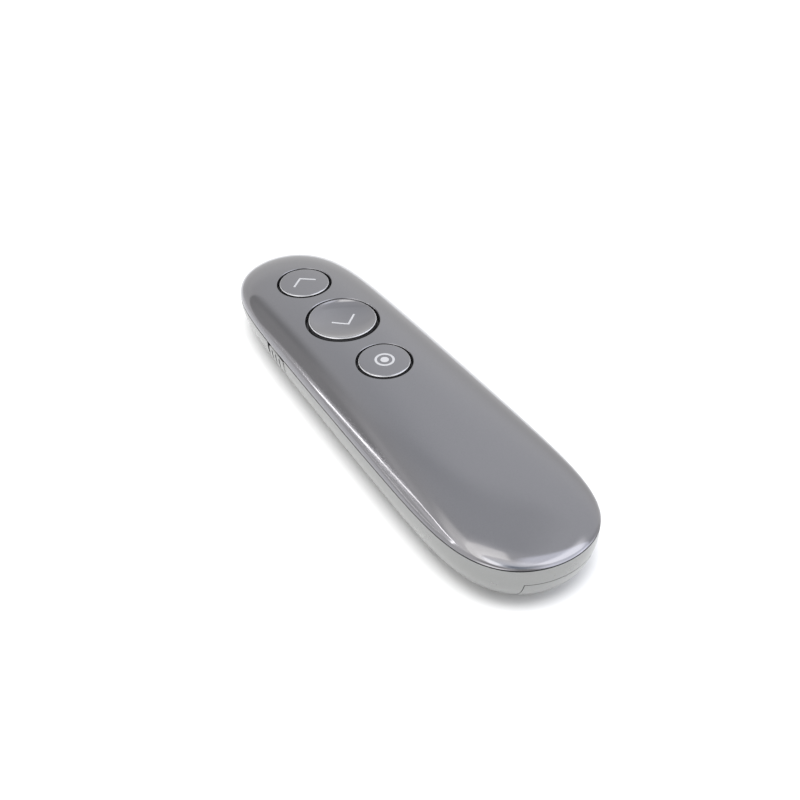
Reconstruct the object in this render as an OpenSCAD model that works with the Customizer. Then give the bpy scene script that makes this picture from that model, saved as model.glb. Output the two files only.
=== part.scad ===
// Hand-held wireless presentation clicker with a laser pointer.
// +Y points to the nose, +X to the user's right, +Z up.
// The origin is at the bottom centre of the body.

/* [Body] */
// Length of the body, tail to nose
body_l = 120; // [118:1:124]
// Half width of the outline at mid length
half_w = 16.7; // [16.5:0.1:17.4]
// How much narrower the nose is than the middle
nose_taper = 2.2; // [1.8:0.1:2.4]
// How much the outline bulges around mid length
waist = 0.5; // [0.2:0.1:0.7]
// Height of the parting line at mid length
part_h = 12.1; // [11.9:0.1:12.6]
// Fall of the parting line from mid length to the nose
part_fall = 1.7; // [1.4:0.1:1.8]
// Height of the top shell's crown above the parting line
crown_h = 4.9; // [4.8:0.1:5.2]
// Squareness of the tail's outline
tail_exp = 6.4; // [6:0.1:7]
// Squareness of the nose's outline
nose_exp = 8.5; // [8:0.1:9]

/* [Shells] */
// Wall thickness of the top shell
wall_t = 1.6; // [1.4:0.1:1.7]
// Wall thickness of the bottom shell
wall_b = 1.5; // [1.4:0.1:1.6]
// Width of the gap at the parting line
part_gap = 0.2; // [0.1:0.05:0.3]
// Number of points around each shell
shell_n = 64; // [48:8:72]

/* [Buttons] */
// Position of the previous button along the body
prev_y = 43.3; // [43:0.1:43.6]
// Position of the next button along the body
next_y = 25.8; // [25.5:0.1:26.1]
// Position of the laser button along the body
laser_y = 7.8; // [7.5:0.1:8.1]
// Radius of the two small button holes
small_r = 6.2; // [6:0.1:6.3]
// Radius of the large button hole
large_r = 8.2; // [8:0.1:8.3]
// Gap around each small button
button_gap = 0.5; // [0.4:0.05:0.55]
// Gap around the large button
large_gap = 0.6; // [0.5:0.05:0.65]
// Travel of each button
travel = 0.5; // [0.3:0.1:0.6]
// How far the buttons stand proud of the top shell
proud = 0.15; // [0:0.05:0.25]
// Depth of the dish in the large button
dish = 0.8; // [0:0.05:0.9]

/* [Power slider] */
// Rear end of the slider knob along the body
knob_y = 25.0; // [24.8:0.1:25.2]
// Length of the slider knob
knob_l = 6.9; // [6.5:0.1:7.1]
// Travel of the slider
slide_travel = 1.0; // [0.8:0.1:1.5]

/* [Battery] */
// Diameter of the AAA cell
cell_d = 10.5; // [10.3:0.1:10.5]
// Length of the AAA cell over its nub
cell_l = 44.5; // [44:0.1:44.5]
// Height of the cell's axis
cell_z = 7.6; // [7.6:0.05:7.65]
// Tail end of the cell
cell_y = -50.2; // [-50.4:0.1:-50]

/* [Battery door] */
// Half width of the door
door_hw = 7.8; // [7.6:0.1:7.9]
// Front edge of the door
door_front = 17; // [16.5:0.5:17]
// Height of the door's upturned end
door_end_z = 9.7; // [9:0.1:10]
// Gap around the door
door_gap = 0.15; // [0.1:0.05:0.2]

/* [Circuit board] */
// Underside of the circuit board
board_z = 8.0; // [8:0.1:8.1]
// Thickness of the circuit board
board_t = 1.2; // [1:0.1:1.2]
// Width of the circuit board
board_w = 24; // [23:0.5:24]

/* [Hidden] */
$fn = 48;
half_l = body_l / 2;
crown_tilt = 0.9;
crown_fall = 2.6;
top_fill = 1.5;
top_exp = 2.1;
bot_fill = 1.1;
bot_exp = 2.2;
belly = 1.12;
e = 0.01;

// Outline, parting line and crown as functions of t, which is -1 at the tail and 1 at the nose
function tt(y) = max(-1, min(1, y / half_l));
function hw(t) = half_w - nose_taper * t - waist * t * t;
function pz(t) = part_h - part_fall * t + 0.2 * t * t;
function crown(t) = crown_h + crown_tilt * t - crown_fall * t * t;
function ex(t) = t < 0 ? tail_exp : nose_exp;
// 0 on the centre line and 1 on the outline, inset by d
function gg(x, y, d) = let(t = tt(y))
    min(1, pow(abs(x) / (hw(t) - d), 2) + pow(abs(y) / (half_l - d), ex(t)));
// Height of the top surface, outside (d = 0) or d inside it
function z_top(x, y, d = 0) = let(t = tt(y), g = gg(x, y, d))
    pz(t) + max(0.3, crown(t) - d) * pow(1 - pow(g, top_fill), 1 / top_exp);
// The larger of a and b, with a soft turn of height k / 4 where they cross
function soft_max(a, b, k) = max(a, b) + pow(max(0, k - abs(a - b)), 2) / (4 * k);
// Height of the underside, outside (d = 0) or d inside it
function z_bot(x, y, d = 0) = let(t = tt(y), g = gg(x, y, d))
    soft_max(d, pz(t) - (pz(t) - d) * belly * pow(1 - pow(g, bot_fill), 1 / (bot_exp - 0.3 * t)), 0.8);
// Height of the locating lip above the parting line
function lip(t) = 0.2 * crown(t);

// One ring of points around the body: r scales it, d insets it, kind picks its height
function ring(r, d, kind, dz = 0) = [for (i = [0:shell_n - 1])
    let(a = 360 * i / shell_n, s = sin(a), c = cos(a),
        y = (half_l - d) * r * s, t = tt(y),
        w = abs(c) < 1e-6 ? 0 : sqrt(max(0, 1 - pow(abs(s), ex(s)))),
        x = (hw(t) - d) * r * (c < 0 ? -w : w),
        z = kind == "top" ? z_top(x, y, d) :
            kind == "ceiling" ? max(z_top(x, y, d), pz(t) + lip(t) + 0.1) :
            kind == "bottom" ? z_bot(x, y, d) :
            kind == "lip" ? pz(t) + lip(t) + dz : pz(t) + dz)
    [x, y, z]];

// Closed skin through a list of rings, with a point at each end
module skin(first, rings, last, flip = false) {
    n = shell_n;
    m = len(rings);
    pts = concat([first], [for (q = rings) for (p = q) p], [last]);
    tris = concat(
        [for (i = [0:n - 1]) [0, 1 + (i + 1) % n, 1 + i]],
        [for (k = [0:m - 2]) for (i = [0:n - 1])
            let(a = 1 + k * n + i, b = 1 + k * n + (i + 1) % n) [a, b, b + n]],
        [for (k = [0:m - 2]) for (i = [0:n - 1])
            let(a = 1 + k * n + i, b = 1 + k * n + (i + 1) % n) [a, b + n, a + n]],
        [for (i = [0:n - 1]) [m * n + 1, 1 + (m - 1) * n + i, 1 + (m - 1) * n + (i + 1) % n]]);
    polyhedron(pts, flip ? tris : [for (f = tris) [f[0], f[2], f[1]]], 4);
}

outer_steps = [0.3, 0.45, 0.58, 0.73, 0.85, 0.92, 0.962, 0.985, 0.996];
inner_steps = [0.985, 0.93, 0.82, 0.6, 0.3];

module top_skin() {
    g = part_gap / 2;
    skin([0, 0, z_top(0, 0)],
        concat([for (r = outer_steps) ring(r, 0, "top")],
            [ring(1, 0, "part", g), ring(1, 0.75, "part", g), ring(1, 0.75, "lip", 0.05),
             ring(1, wall_t, "ceiling")],
            [for (r = inner_steps) ring(r, wall_t, "ceiling")]),
        [0, 0, z_top(0, 0, wall_t)], true);
}

module bottom_skin() {
    g = part_gap / 2;
    skin([0, 0, 0],
        concat([for (r = outer_steps) ring(r, 0, "bottom")],
            [ring(1, 0, "part", -g), ring(1, 0.8, "part", -g), ring(1, 0.8, "lip", 0),
             ring(1, wall_b, "lip", 0)],
            [for (r = concat([0.996], inner_steps)) ring(r, wall_b, "bottom")]),
        [0, 0, wall_b]);
}

// Everything inside the outer surface, below the parting line
module bottom_solid() {
    skin([0, 0, 0],
        concat([for (r = outer_steps) ring(r, 0, "bottom")], [ring(1, 0, "part", -part_gap / 2)]),
        [0, 0, pz(0) - part_gap / 2]);
}

module box(x0, x1, y0, y1, z0, z1) {
    translate([x0, y0, z0]) cube([x1 - x0, y1 - y0, z1 - z0]);
}
module post(x, y, z0, z1, r) { translate([x, y, z0]) cylinder(h = z1 - z0, r = r); }
module rod_y(x, z, y0, y1, r) { translate([x, y0, z]) rotate([-90, 0, 0]) cylinder(h = y1 - y0, r = r); }

// Room inside the casing at inset d, with upright walls above the parting line
module room(d) {
    skin([0, 0, d],
        concat([for (r = outer_steps) ring(r, d, "bottom")],
            [ring(1, d, "part"), ring(1, d, "part", 6)]),
        [0, 0, pz(0) + 6]);
}

// Screw positions: case screws join the shells, board and frame screws hold the inside.
// A case screw is [x, y, height of its head's seat, height where the two bosses meet, length]
case_pts = [[-8.1, 49.8, 5.4, 8.2, 6], [8.1, 49.8, 5.4, 8.2, 6],
    [-11.2, -33, 4.2, 10.2, 9.3], [11.2, -33, 4.2, 10.2, 9.3]];
board_pts = [[-10.9, 1.5], [10.9, 1.5], [-10.4, 37.5], [10.4, 37.5]];
frame_pts = [[-9.9, -44], [9.9, -44]];
window_z = 8.0;

module top_shell() {
    color([0.42, 0.42, 0.44]) difference() {
        union() {
            top_skin();
            for (p = case_pts)
                post(p[0], p[1], p[3] + 0.05, z_top(p[0], p[1]) - 1, 1.9);
        }
        post(0, prev_y, 5, 20, small_r);
        post(0, next_y, 5, 20, large_r);
        post(0, laser_y, 5, 20, small_r);
        for (p = case_pts) post(p[0], p[1], p[3] - 1, z_top(p[0], p[1]) - 1.7, 0.95);
    }
}

module door_gap_boxes(g) {
    box(-door_hw - g, door_hw + g, -half_l - 1, door_front + g, -1, door_end_z + g);
}

module bottom_shell() {
    color([0.75, 0.76, 0.76]) difference() {
        union() {
            bottom_skin();
            intersection() {
                room(0.7);
                union() {
                    for (p = case_pts) {
                        post(p[0], p[1], 1, p[2] + 1, 2.9);
                        post(p[0], p[1], 1, p[3] - 0.05, 2.1);
                    }
                    for (p = board_pts) post(p[0], p[1], 1, board_z - (p[1] < 28 ? 0.9 : 0.05), 1.5);
                    for (p = frame_pts) post(p[0], p[1], 1, 6, 1.5);
                }
            }
            box(-4.2, 4.2, 49.5, 54, 3.2, window_z);
        }
        // door opening, and the rail that its side flanges and front tongue run in
        door_gap_boxes(door_gap);
        box(-8.95, 8.95, -half_l - 1, door_front + 1.75, 0.95, 1.75);
        // case screws: head recess from below, clearance bore above it
        for (p = case_pts) {
            post(p[0], p[1], -1, p[2], 2.05);
            post(p[0], p[1], 3, p[3] + 1, 1.15);
        }
        for (p = board_pts) post(p[0], p[1], 4.2, board_z + 1, 0.75);
        for (p = frame_pts) post(p[0], p[1], 3.2, 7, 0.75);
        // seat of the laser barrel and the window's bore
        rod_y(0, window_z, 49, 55.8, 2.85);
        rod_y(0, window_z, 55, 61, 2.6);
        // slider window, open to the parting line
        box(-17, -12.2, knob_y - 0.15, knob_y + knob_l + slide_travel + 0.15, 7.4, 13);
    }
}

module battery_door() {
    color([0.73, 0.74, 0.74]) difference() {
        union() {
            intersection() {
                difference() {
                    bottom_solid();
                    room(wall_b);
                }
                box(-door_hw, door_hw, -half_l - 1, door_front, -1, door_end_z);
            }
            for (s = [-1, 1]) box(s * 8.1 - 0.75, s * 8.1 + 0.75, -40, door_front, 1.05, 1.65);
            box(-door_hw + 1, door_hw - 1, door_front - 1, door_front + 1.5, 1.05, 1.65);
        }
        // thumb grip
        for (k = [0:4]) box(-4.5, 4.5, -41 + 1.6 * k, -40.2 + 1.6 * k, -1, 0.35);
    }
}

// Button cap whose top follows the shell, with a retaining flange and a stem on its switch
module button(y0, hole_r, gap, flange_z, depth) {
    r = hole_r - gap;
    n = 48;
    steps = [0.35, 0.65, 0.85, 0.95, 1];
    drop = [0, 0, 0, 0.03, 0.28];
    cup = function(q) depth * (1 - q * q);
    pts = concat([[0, y0, z_top(0, y0) + proud - depth]],
        [for (k = [0:len(steps) - 1]) for (i = [0:n - 1])
            let(x = r * steps[k] * cos(360 * i / n), y = y0 + r * steps[k] * sin(360 * i / n))
            [x, y, z_top(x, y) + proud - drop[k] - cup(steps[k])]],
        [for (i = [0:n - 1]) [r * cos(360 * i / n), y0 + r * sin(360 * i / n), flange_z - 0.2]],
        [[0, y0, flange_z - 0.2]]);
    m = len(steps) + 1;
    tris = concat([for (i = [0:n - 1]) [0, 1 + (i + 1) % n, 1 + i]],
        [for (k = [0:m - 2]) for (i = [0:n - 1])
            let(a = 1 + k * n + i, b = 1 + k * n + (i + 1) % n) [a, b, b + n]],
        [for (k = [0:m - 2]) for (i = [0:n - 1])
            let(a = 1 + k * n + i, b = 1 + k * n + (i + 1) % n) [a, b + n, a + n]],
        [for (i = [0:n - 1]) [m * n + 1, 1 + (m - 1) * n + i, 1 + (m - 1) * n + (i + 1) % n]]);
    difference() {
        union() {
            polyhedron(pts, tris, 4);
            post(0, y0, flange_z - 0.8, flange_z, r + 1.15);
        }
        difference() {
            post(0, y0, flange_z - 1, flange_z + 0.5, r - 1.1);
            post(0, y0, flange_z - 2, flange_z + 2, 1.6);
        }
    }
}

module button_stem(y0, flange_z) {
    if (flange_z - 0.8 > 12.6) post(0, y0, 12.6, flange_z, 1.6);
}

prev_fz = 12.7;
next_fz = 13.7;
laser_fz = 14.8;

module previous_button() {
    color([0.5, 0.5, 0.52]) difference() {
        button(0 + prev_y, small_r, button_gap, prev_fz, 0);
        post(0, prev_y, 5, 12.6, 1.9);
    }
}
module next_button() {
    color([0.5, 0.5, 0.52]) union() {
        button(0 + next_y, large_r, large_gap, next_fz, dish);
        button_stem(next_y, next_fz);
    }
}
module laser_button() {
    color([0.5, 0.5, 0.52]) union() {
        button(0 + laser_y, small_r, button_gap, laser_fz, 0);
        button_stem(laser_y, laser_fz);
    }
}

module power_slider() {
    y0 = knob_y;
    y1 = knob_y + knob_l;
    color([0.7, 0.71, 0.71]) union() {
        difference() {
            intersection() {
                translate([-0.12, 0, 0]) bottom_solid();
                box(-18, -12.4, y0, y1, 7.6, 11.0);
            }
            // grooves of the finger grip
            for (k = [0:2]) box(-18, -15.1, y0 + 1.7 + 1.75 * k, y0 + 2.2 + 1.75 * k, 7, 12);
        }
        box(-12.7, -12.3, y0, y1, 7.05, 10.9);
        for (y = [y0 + 2.2, y0 + 4.7]) box(-12.6, -11.75, y - 0.1, y + 0.8, 9.3, 10.4);
    }
}

module slide_switch_body() {
    color([0.72, 0.72, 0.7]) difference() {
        box(-11.5, -8.7, knob_y + 0.7, knob_y + 7.7, board_z + board_t, 10.9);
        box(-12, -9.3, knob_y + 2.4, knob_y + 6.7, 9.65, 10.35);
    }
}
module slide_switch_lever() {
    color([0.12, 0.12, 0.12])
        box(-12.2, -9.6, knob_y + 3.05, knob_y + 4.5, 9.72, 10.28);
}

// One-piece frame: battery box, receiver bay, plug holder and board seat
module inner_frame() {
    part_y = cell_y + cell_l + 0.4;
    color([0.16, 0.16, 0.17]) difference() {
        union() {
            intersection() {
                union() {
                    box(-7.4, 7.4, -55, part_y + 1.2, 1.85, 13.55);
                    box(-9.1, 9.1, part_y, 15.4, 1.85, 7.95);
                    box(-7.4, 7.4, 15.3, 28.5, 1.85, 7.95);
                }
                room(wall_b + 0.4);
            }
            for (s = [-1, 1]) {
                box(s * 10.4 - 2, s * 10.4 + 2, -0.5, 3.5, 7.15, 7.95);
                box(s * 9.4 - 2.2, s * 9.4 + 2.2, -46, -42, 6.05, 7.15);
            }
        }
        // battery box, open below
        box(-6.1, 6.1, -53.95, part_y, 0, 12.95);
        box(-1.1, 1.1, -54.5, -53.9, 9, 12);
        // receiver bay, open below
        box(-7.95, 7.95, part_y + 1.2, 15.4, 0, 7.2);
        // plug holder
        box(-6.15, 6.15, 15, 28, 2.15, 6.85);
        for (p = board_pts) post(p[0], p[1], 6, 9, 1.0);
        for (p = frame_pts) post(p[0], p[1], 5, 9, 1.0);
        // slots for the two contact arms
        box(5.6, 6.2, part_y - 0.5, part_y + 1.3, 9.25, 10.75);
        box(-4.2, -2.2, part_y - 0.5, part_y + 1.3, 9.3, 9.85);
    }
}

module circuit_board() {
    hwid = board_w / 2;
    y0 = -3.9;
    y1 = 47.6;
    color([0.05, 0.32, 0.16]) translate([0, 0, board_z]) difference() {
        linear_extrude(height = board_t) difference() {
            polygon([[-hwid, y0 + 1], [-hwid + 1, y0], [hwid - 1, y0], [hwid, y0 + 1],
                [hwid, 42.5], [hwid - 1.2, 45], [hwid - 3.6, y1], [-hwid + 3.6, y1],
                [-hwid + 1.2, 45], [-hwid, 42.5]]);
        }
        for (p = board_pts) post(p[0], p[1], -1, 3, 0.95);
    }
}

module switch_body(y0) {
    zb = board_z + board_t;
    color([0.1, 0.1, 0.1]) difference() {
        union() {
            box(-3, 3, y0 - 3, y0 + 3, zb + 0.1, zb + 2.5);
            for (s = [-1, 1]) for (v = [-1, 1]) box(s * 3.2 - 0.5, s * 3.2 + 0.5, y0 + v * 2.2 - 0.35, y0 + v * 2.2 + 0.35, zb, zb + 0.3);
        }
        post(0, y0, 10.6 - travel, zb + 3, 1.75);
    }
}
module switch_plunger(y0) {
    color([0.85, 0.83, 0.75]) post(0, y0, 10.75, 12.6, 1.7);
}
module previous_switch_body() { switch_body(prev_y); }
module next_switch_body() { switch_body(next_y); }
module laser_switch_body() { switch_body(laser_y); }
module previous_switch_plunger() { switch_plunger(prev_y); }
module next_switch_plunger() { switch_plunger(next_y); }
module laser_switch_plunger() { switch_plunger(laser_y); }

module radio_chip() {
    zb = board_z + board_t;
    color([0.08, 0.08, 0.08]) union() {
        box(3.2, 8.2, 31.6, 36.6, zb + 0.1, zb + 0.9);
        for (k = [0:5]) for (s = [0, 1]) box(s == 0 ? 2.9 : 8.1, s == 0 ? 3.3 : 8.5, 32.1 + 0.75 * k, 32.4 + 0.75 * k, zb, zb + 0.3);
    }
}
module crystal() {
    zb = board_z + board_t;
    color([0.7, 0.7, 0.72]) union() {
        box(-8.2, -5, 35.8, 38.3, zb, zb + 0.25);
        box(-8, -5.2, 36, 38.1, zb + 0.2, zb + 0.8);
    }
}
module board_capacitors() {
    zb = board_z + board_t;
    color([0.55, 0.45, 0.32])
        for (p = [[9.6, 27], [9.6, 29], [-6.5, 18.2], [-4.5, 18.2], [6.4, 38.8], [8.2, 41.5], [-7, 30], [8, -1.5], [-7.4, -1.5]])
            box(p[0] - 0.5, p[0] + 0.5, p[1] - 0.8, p[1] + 0.8, zb, zb + 0.7);
}

module laser_barrel() {
    color([0.72, 0.58, 0.3]) difference() {
        union() {
            rod_y(0, window_z, 48.2, 55.6, 2.8);
            rod_y(0, window_z, 55.5, 57, 2.1);
        }
        rod_y(0, window_z, 47, 51.5, 2.4);
        rod_y(0, window_z, 51, 55, 1.2);
        rod_y(0, window_z, 54.9, 58, 1.6);
    }
}
module laser_diode() {
    color([0.8, 0.72, 0.5]) union() {
        rod_y(0, window_z, 48.6, 49.6, 2.35);
        rod_y(0, window_z, 49.5, 51.3, 1.7);
        for (s = [-1, 1]) rod_y(s * 1.3, window_z + 1.45, 46.5, 48.7, 0.22);
    }
}
module laser_lens() {
    color([0.7, 0.8, 0.85]) translate([0, 55.1, window_z]) rotate([-90, 0, 0])
        rotate_extrude() polygon([[0, 0], [1.55, 0], [1.55, 0.9], [1.2, 1.15], [0.7, 1.32], [0, 1.4]]);
}
module nose_window() {
    color([0.25, 0.06, 0.06]) rod_y(0, window_z, 57.4, 58.2, 2.55);
}

module battery() {
    r = cell_d / 2;
    body_end = cell_l - 1.2;
    color([0.6, 0.6, 0.62]) translate([0, cell_y, cell_z]) rotate([-90, 0, 0])
        rotate_extrude() polygon([[0, 0], [r - 0.9, 0], [r - 0.9, 0.15], [r - 0.3, 0.15], [r, 0.45],
            [r, body_end - 0.4], [r - 0.3, body_end - 0.05], [r - 1, body_end - 0.05], [r - 1.2, body_end],
            [1.9, body_end], [1.9, cell_l - 0.15], [1.7, cell_l], [0, cell_l]]);
}

// Conical coil: a round wire swept along a spiral
module battery_spring() {
    turns = 3.5;
    sides = 8;
    steps = 14 * turns;
    wire = 0.25;
    y0 = -53.38;
    y1 = cell_y - wire - 0.02;
    function at(u) = [(2.3 - 0.8 * u) * cos(360 * turns * u), y0 + (y1 - y0) * u,
        cell_z + (2.3 - 0.8 * u) * sin(360 * turns * u)];
    pts = [for (k = [0:steps]) let(u = k / steps, a = 360 * turns * u)
        for (j = [0:sides - 1]) let(b = 360 * j / sides)
            at(u) + wire * (cos(b) * [cos(a), 0, sin(a)] + sin(b) * [0, 1, 0])];
    m = steps + 1;
    tris = concat([[for (j = [0:sides - 1]) j]],
        [for (k = [0:m - 2]) for (j = [0:sides - 1])
            let(a = k * sides + j, b = k * sides + (j + 1) % sides) [a, a + sides, b + sides]],
        [for (k = [0:m - 2]) for (j = [0:sides - 1])
            let(a = k * sides + j, b = k * sides + (j + 1) % sides) [a, b + sides, b]],
        [[for (j = [0:sides - 1]) m * sides - 1 - j]]);
    color([0.8, 0.8, 0.8]) polyhedron(pts, tris, 4);
}
module negative_plate() {
    color([0.78, 0.78, 0.76]) union() {
        box(-3.6, 3.6, -53.93, -53.65, 4.9, 11.6);
        box(-0.9, 0.9, -54.45, -53.65, 10.2, 11.6);
        // arm along the cell to the board
        box(3.5, 6.05, -53.93, -53.65, 9.4, 10.6);
        box(5.77, 6.05, -53.93, -2.6, 9.4, 10.6);
        box(4.9, 6.05, -3.6, -2.6, board_z + board_t, 9.5);
    }
}
module positive_plate() {
    y0 = cell_y + cell_l;
    color([0.78, 0.78, 0.76]) union() {
        box(-4, 4, y0 + 0.02, y0 + 0.32, 3.6, 11.4);
        box(-4, -2.4, y0 + 0.02, -2.6, 9.42, 9.72);
        box(-4, -2.4, -3.6, -2.6, board_z + board_t, 9.5);
    }
}

rx_y = 8.4;
module receiver_cap() {
    color([0.1, 0.1, 0.1]) difference() {
        hull() {
            box(-7.2, 7.2, rx_y + 0.8, rx_y + 6.8, 2.5, 6.5);
            box(-6.7, 6.7, rx_y + 0.3, rx_y + 6.8, 2, 7);
            box(-6.2, 6.2, rx_y, rx_y + 6.8, 2.5, 6.5);
        }
        box(-5.5, 5.5, rx_y + 4, rx_y + 7, 2.9, 6.1);
    }
}
module receiver_plug() {
    color([0.8, 0.8, 0.82]) difference() {
        box(-6, 6, rx_y + 6.8, rx_y + 18.8, 2.25, 6.75);
        box(-5.7, 5.7, rx_y + 6, rx_y + 19, 2.55, 6.45);
        for (s = [-1, 1]) box(s * 2.8 - 1, s * 2.8 + 1, rx_y + 11, rx_y + 13.2, 6, 7);
    }
}
module receiver_tongue() {
    color([0.15, 0.15, 0.16]) union() {
        box(-5.4, 5.4, rx_y + 4.1, rx_y + 7, 3, 6);
        box(-5.5, 5.5, rx_y + 6.9, rx_y + 18.2, 4.55, 6.4);
    }
}

// Pan head screw with a cross recess, head down (side = -1) or head up (side = 1)
module screw(x, y, z, side, head_r, head_h, shank_r, shank_l) {
    translate([x, y, z]) mirror([0, 0, side > 0 ? 0 : 1]) difference() {
        union() {
            cylinder(h = head_h, r = head_r);
            translate([0, 0, -shank_l]) cylinder(h = shank_l + e, r = shank_r);
        }
        for (a = [0, 90]) rotate([0, 0, a])
            translate([-head_r * 0.55, -0.2, head_h * 0.45]) cube([head_r * 1.1, 0.4, head_h]);
    }
}
module case_screws() {
    color([0.6, 0.6, 0.62]) for (p = case_pts) screw(p[0], p[1], p[2] - 0.02, -1, 1.85, 1.2, 0.9, p[4]);
}
module board_screws() {
    color([0.6, 0.6, 0.62]) for (p = board_pts) screw(p[0], p[1], board_z + board_t + 0.02, 1, 1.4, 0.9, 0.7, 4.6);
}
module frame_screws() {
    color([0.6, 0.6, 0.62]) for (p = frame_pts) screw(p[0], p[1], 7.17, 1, 1.4, 0.9, 0.7, 3.6);
}

top_shell();
bottom_shell();
battery_door();
previous_button();
next_button();
laser_button();
power_slider();
inner_frame();
circuit_board();
previous_switch_body();
next_switch_body();
laser_switch_body();
previous_switch_plunger();
next_switch_plunger();
laser_switch_plunger();
slide_switch_body();
slide_switch_lever();
radio_chip();
crystal();
board_capacitors();
laser_barrel();
laser_diode();
laser_lens();
nose_window();
battery();
battery_spring();
negative_plate();
positive_plate();
receiver_cap();
receiver_plug();
receiver_tongue();
case_screws();
board_screws();
frame_screws();
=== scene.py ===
"""Looks of the wireless presentation clicker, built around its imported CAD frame.

Lengths in the shape code are in millimetres and are scaled to metres as each mesh is made.
"""

import math

import bpy
import numpy as np
from mathutils import Matrix, Vector, geometry

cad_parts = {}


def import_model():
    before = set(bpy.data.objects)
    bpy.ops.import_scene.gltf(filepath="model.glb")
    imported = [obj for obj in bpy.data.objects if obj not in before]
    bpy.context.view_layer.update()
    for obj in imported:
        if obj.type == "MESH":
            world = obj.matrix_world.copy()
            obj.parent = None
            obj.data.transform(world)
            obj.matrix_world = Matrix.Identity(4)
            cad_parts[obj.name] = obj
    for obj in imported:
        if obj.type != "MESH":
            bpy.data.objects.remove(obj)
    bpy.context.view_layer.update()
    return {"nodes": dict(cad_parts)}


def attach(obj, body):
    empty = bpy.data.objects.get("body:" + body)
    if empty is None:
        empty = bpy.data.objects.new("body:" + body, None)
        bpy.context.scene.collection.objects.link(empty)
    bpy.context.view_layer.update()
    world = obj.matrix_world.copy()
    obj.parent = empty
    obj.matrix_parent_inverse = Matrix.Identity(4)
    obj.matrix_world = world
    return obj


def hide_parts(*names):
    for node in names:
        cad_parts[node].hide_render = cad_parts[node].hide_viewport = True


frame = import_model()
MM = 0.001
scene = bpy.context.scene

# ---------------------------------------------------------------- shape of the body, as in the CAD source

HALF = 60.0
GAP = 0.15  # half the gap at the parting line
WALL_T, WALL_B = 1.6, 1.5
EDGE = 0.06  # rounding of both shells' edges at the parting line
BUTTONS = {  # centre along the body, hole radius, gap, flange height, dish
    "previous_button": (43.3, 6.2, 0.5, 12.7, 0.0),
    "next_button": (25.8, 8.2, 0.6, 13.7, 1.05),
    "laser_button": (7.8, 6.2, 0.5, 14.8, 0.0),
}
PROUD = {"previous_button": 0.15, "next_button": 0.45, "laser_button": 0.28}  # the keys above the shell, at their edge
SOFT = 0.8  # the underside's curve meets the flat bottom over this much of its height


def hw(t):
    return 16.7 - 2.2 * t - 0.5 * t * t


def pz(t):
    return 12.1 - 1.7 * t + 0.2 * t * t


def crown(t):
    return 4.9 + 0.9 * t - 2.6 * t * t


def ex(t):
    return np.where(t < 0, 6.4, 8.5)


def lip(t):
    return 0.2 * crown(t)


def tt(y):
    return np.clip(y / HALF, -1, 1)


def gg(x, y, d=0.0):
    t = tt(y)
    return np.minimum(1, (np.abs(x) / (hw(t) - d)) ** 2 + (np.abs(y) / (HALF - d)) ** ex(t))


def gg_slope(x, y, d=0.0):
    t = tt(y)
    e, w = ex(t), hw(t) - d
    gx = 2 * x / w**2
    gy = e * np.abs(y) ** (e - 1) / (HALF - d) ** e * np.sign(y) - 2 * x * x / w**3 * (-2.2 - t) / HALF
    return gx, gy


def unit(n):
    return n / np.maximum(np.linalg.norm(n, axis=-1, keepdims=True), 1e-12)


def z_top(x, y, d=0.0):
    t = tt(y)
    return pz(t) + np.maximum(0.3, crown(t) - d) * (1 - gg(x, y, d) ** 1.5) ** (1 / 2.1)


def n_top(x, y):
    t, g = tt(y), gg(x, y)
    gx, gy = gg_slope(x, y)
    c, q = crown(t), 1 / 2.1
    u = np.maximum(1 - g**1.5, 1e-9)
    s = u ** (1 - q)
    k = c * q * 1.5 * np.sqrt(g)
    slope = (-1.7 + 0.4 * t) / HALF + (0.9 - 5.2 * t) / HALF * u**q
    return unit(np.stack([k * gx, k * gy - s * slope, s], -1))


def z_bot_raw(x, y, d=0.0):
    t = tt(y)
    return pz(t) - (pz(t) - d) * 1.12 * (1 - gg(x, y, d) ** 1.1) ** (1 / (2.2 - 0.3 * t))


def z_bot(x, y, d=0.0):
    z = z_bot_raw(x, y, d)
    return np.maximum(d, z) + np.maximum(0, SOFT - np.abs(z - d)) ** 2 / (4 * SOFT)


def n_bot(x, y):
    t, g = tt(y), gg(x, y)
    gx, gy = gg_slope(x, y)
    q, dq = 1 / (2.2 - 0.3 * t), 0.3 / (2.2 - 0.3 * t) ** 2
    u = np.maximum(1 - g**1.1, 1e-9)
    depth, s = pz(t) * 1.12, u ** (1 - q)
    k = depth * q * 1.1 * np.maximum(g, 1e-12) ** 0.1
    slope = (-1.7 + 0.4 * t) / HALF * (1 - 1.12 * u**q) - depth * u**q * np.log(u) * dq / HALF
    z = z_bot_raw(x, y)
    turn = np.maximum(0, SOFT - np.abs(z)) / (2 * SOFT)
    part = np.where(z > 0, 1 - turn, turn)
    return unit(np.stack([k * gx * part, (k * gy + s * slope) * part, -s], -1))


def angles(n):
    return np.arange(n) * (2 * math.pi / n)


def ring_xy(g, d, ang):
    """Points at level g of the outline that is inset by d."""
    s = np.sin(ang)
    e = np.where(s < 0, 6.4, 8.5)
    top = np.abs(s) ** e
    lo, hi = np.zeros_like(s), np.ones_like(s)
    for _ in range(48):
        r = (lo + hi) / 2
        over = r * r * (1 - top) + r**e * top > g
        hi = np.where(over, r, hi)
        lo = np.where(over, lo, r)
    r = np.where(g >= 1, 1.0, (lo + hi) / 2)
    y = (HALF - d) * r * s
    x = (hw(tt(y)) - d) * r * np.sqrt(np.maximum(0, 1 - top)) * np.where(np.cos(ang) < 0, -1, 1)
    return x, y


# ---------------------------------------------------------------- mesh helpers


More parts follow.
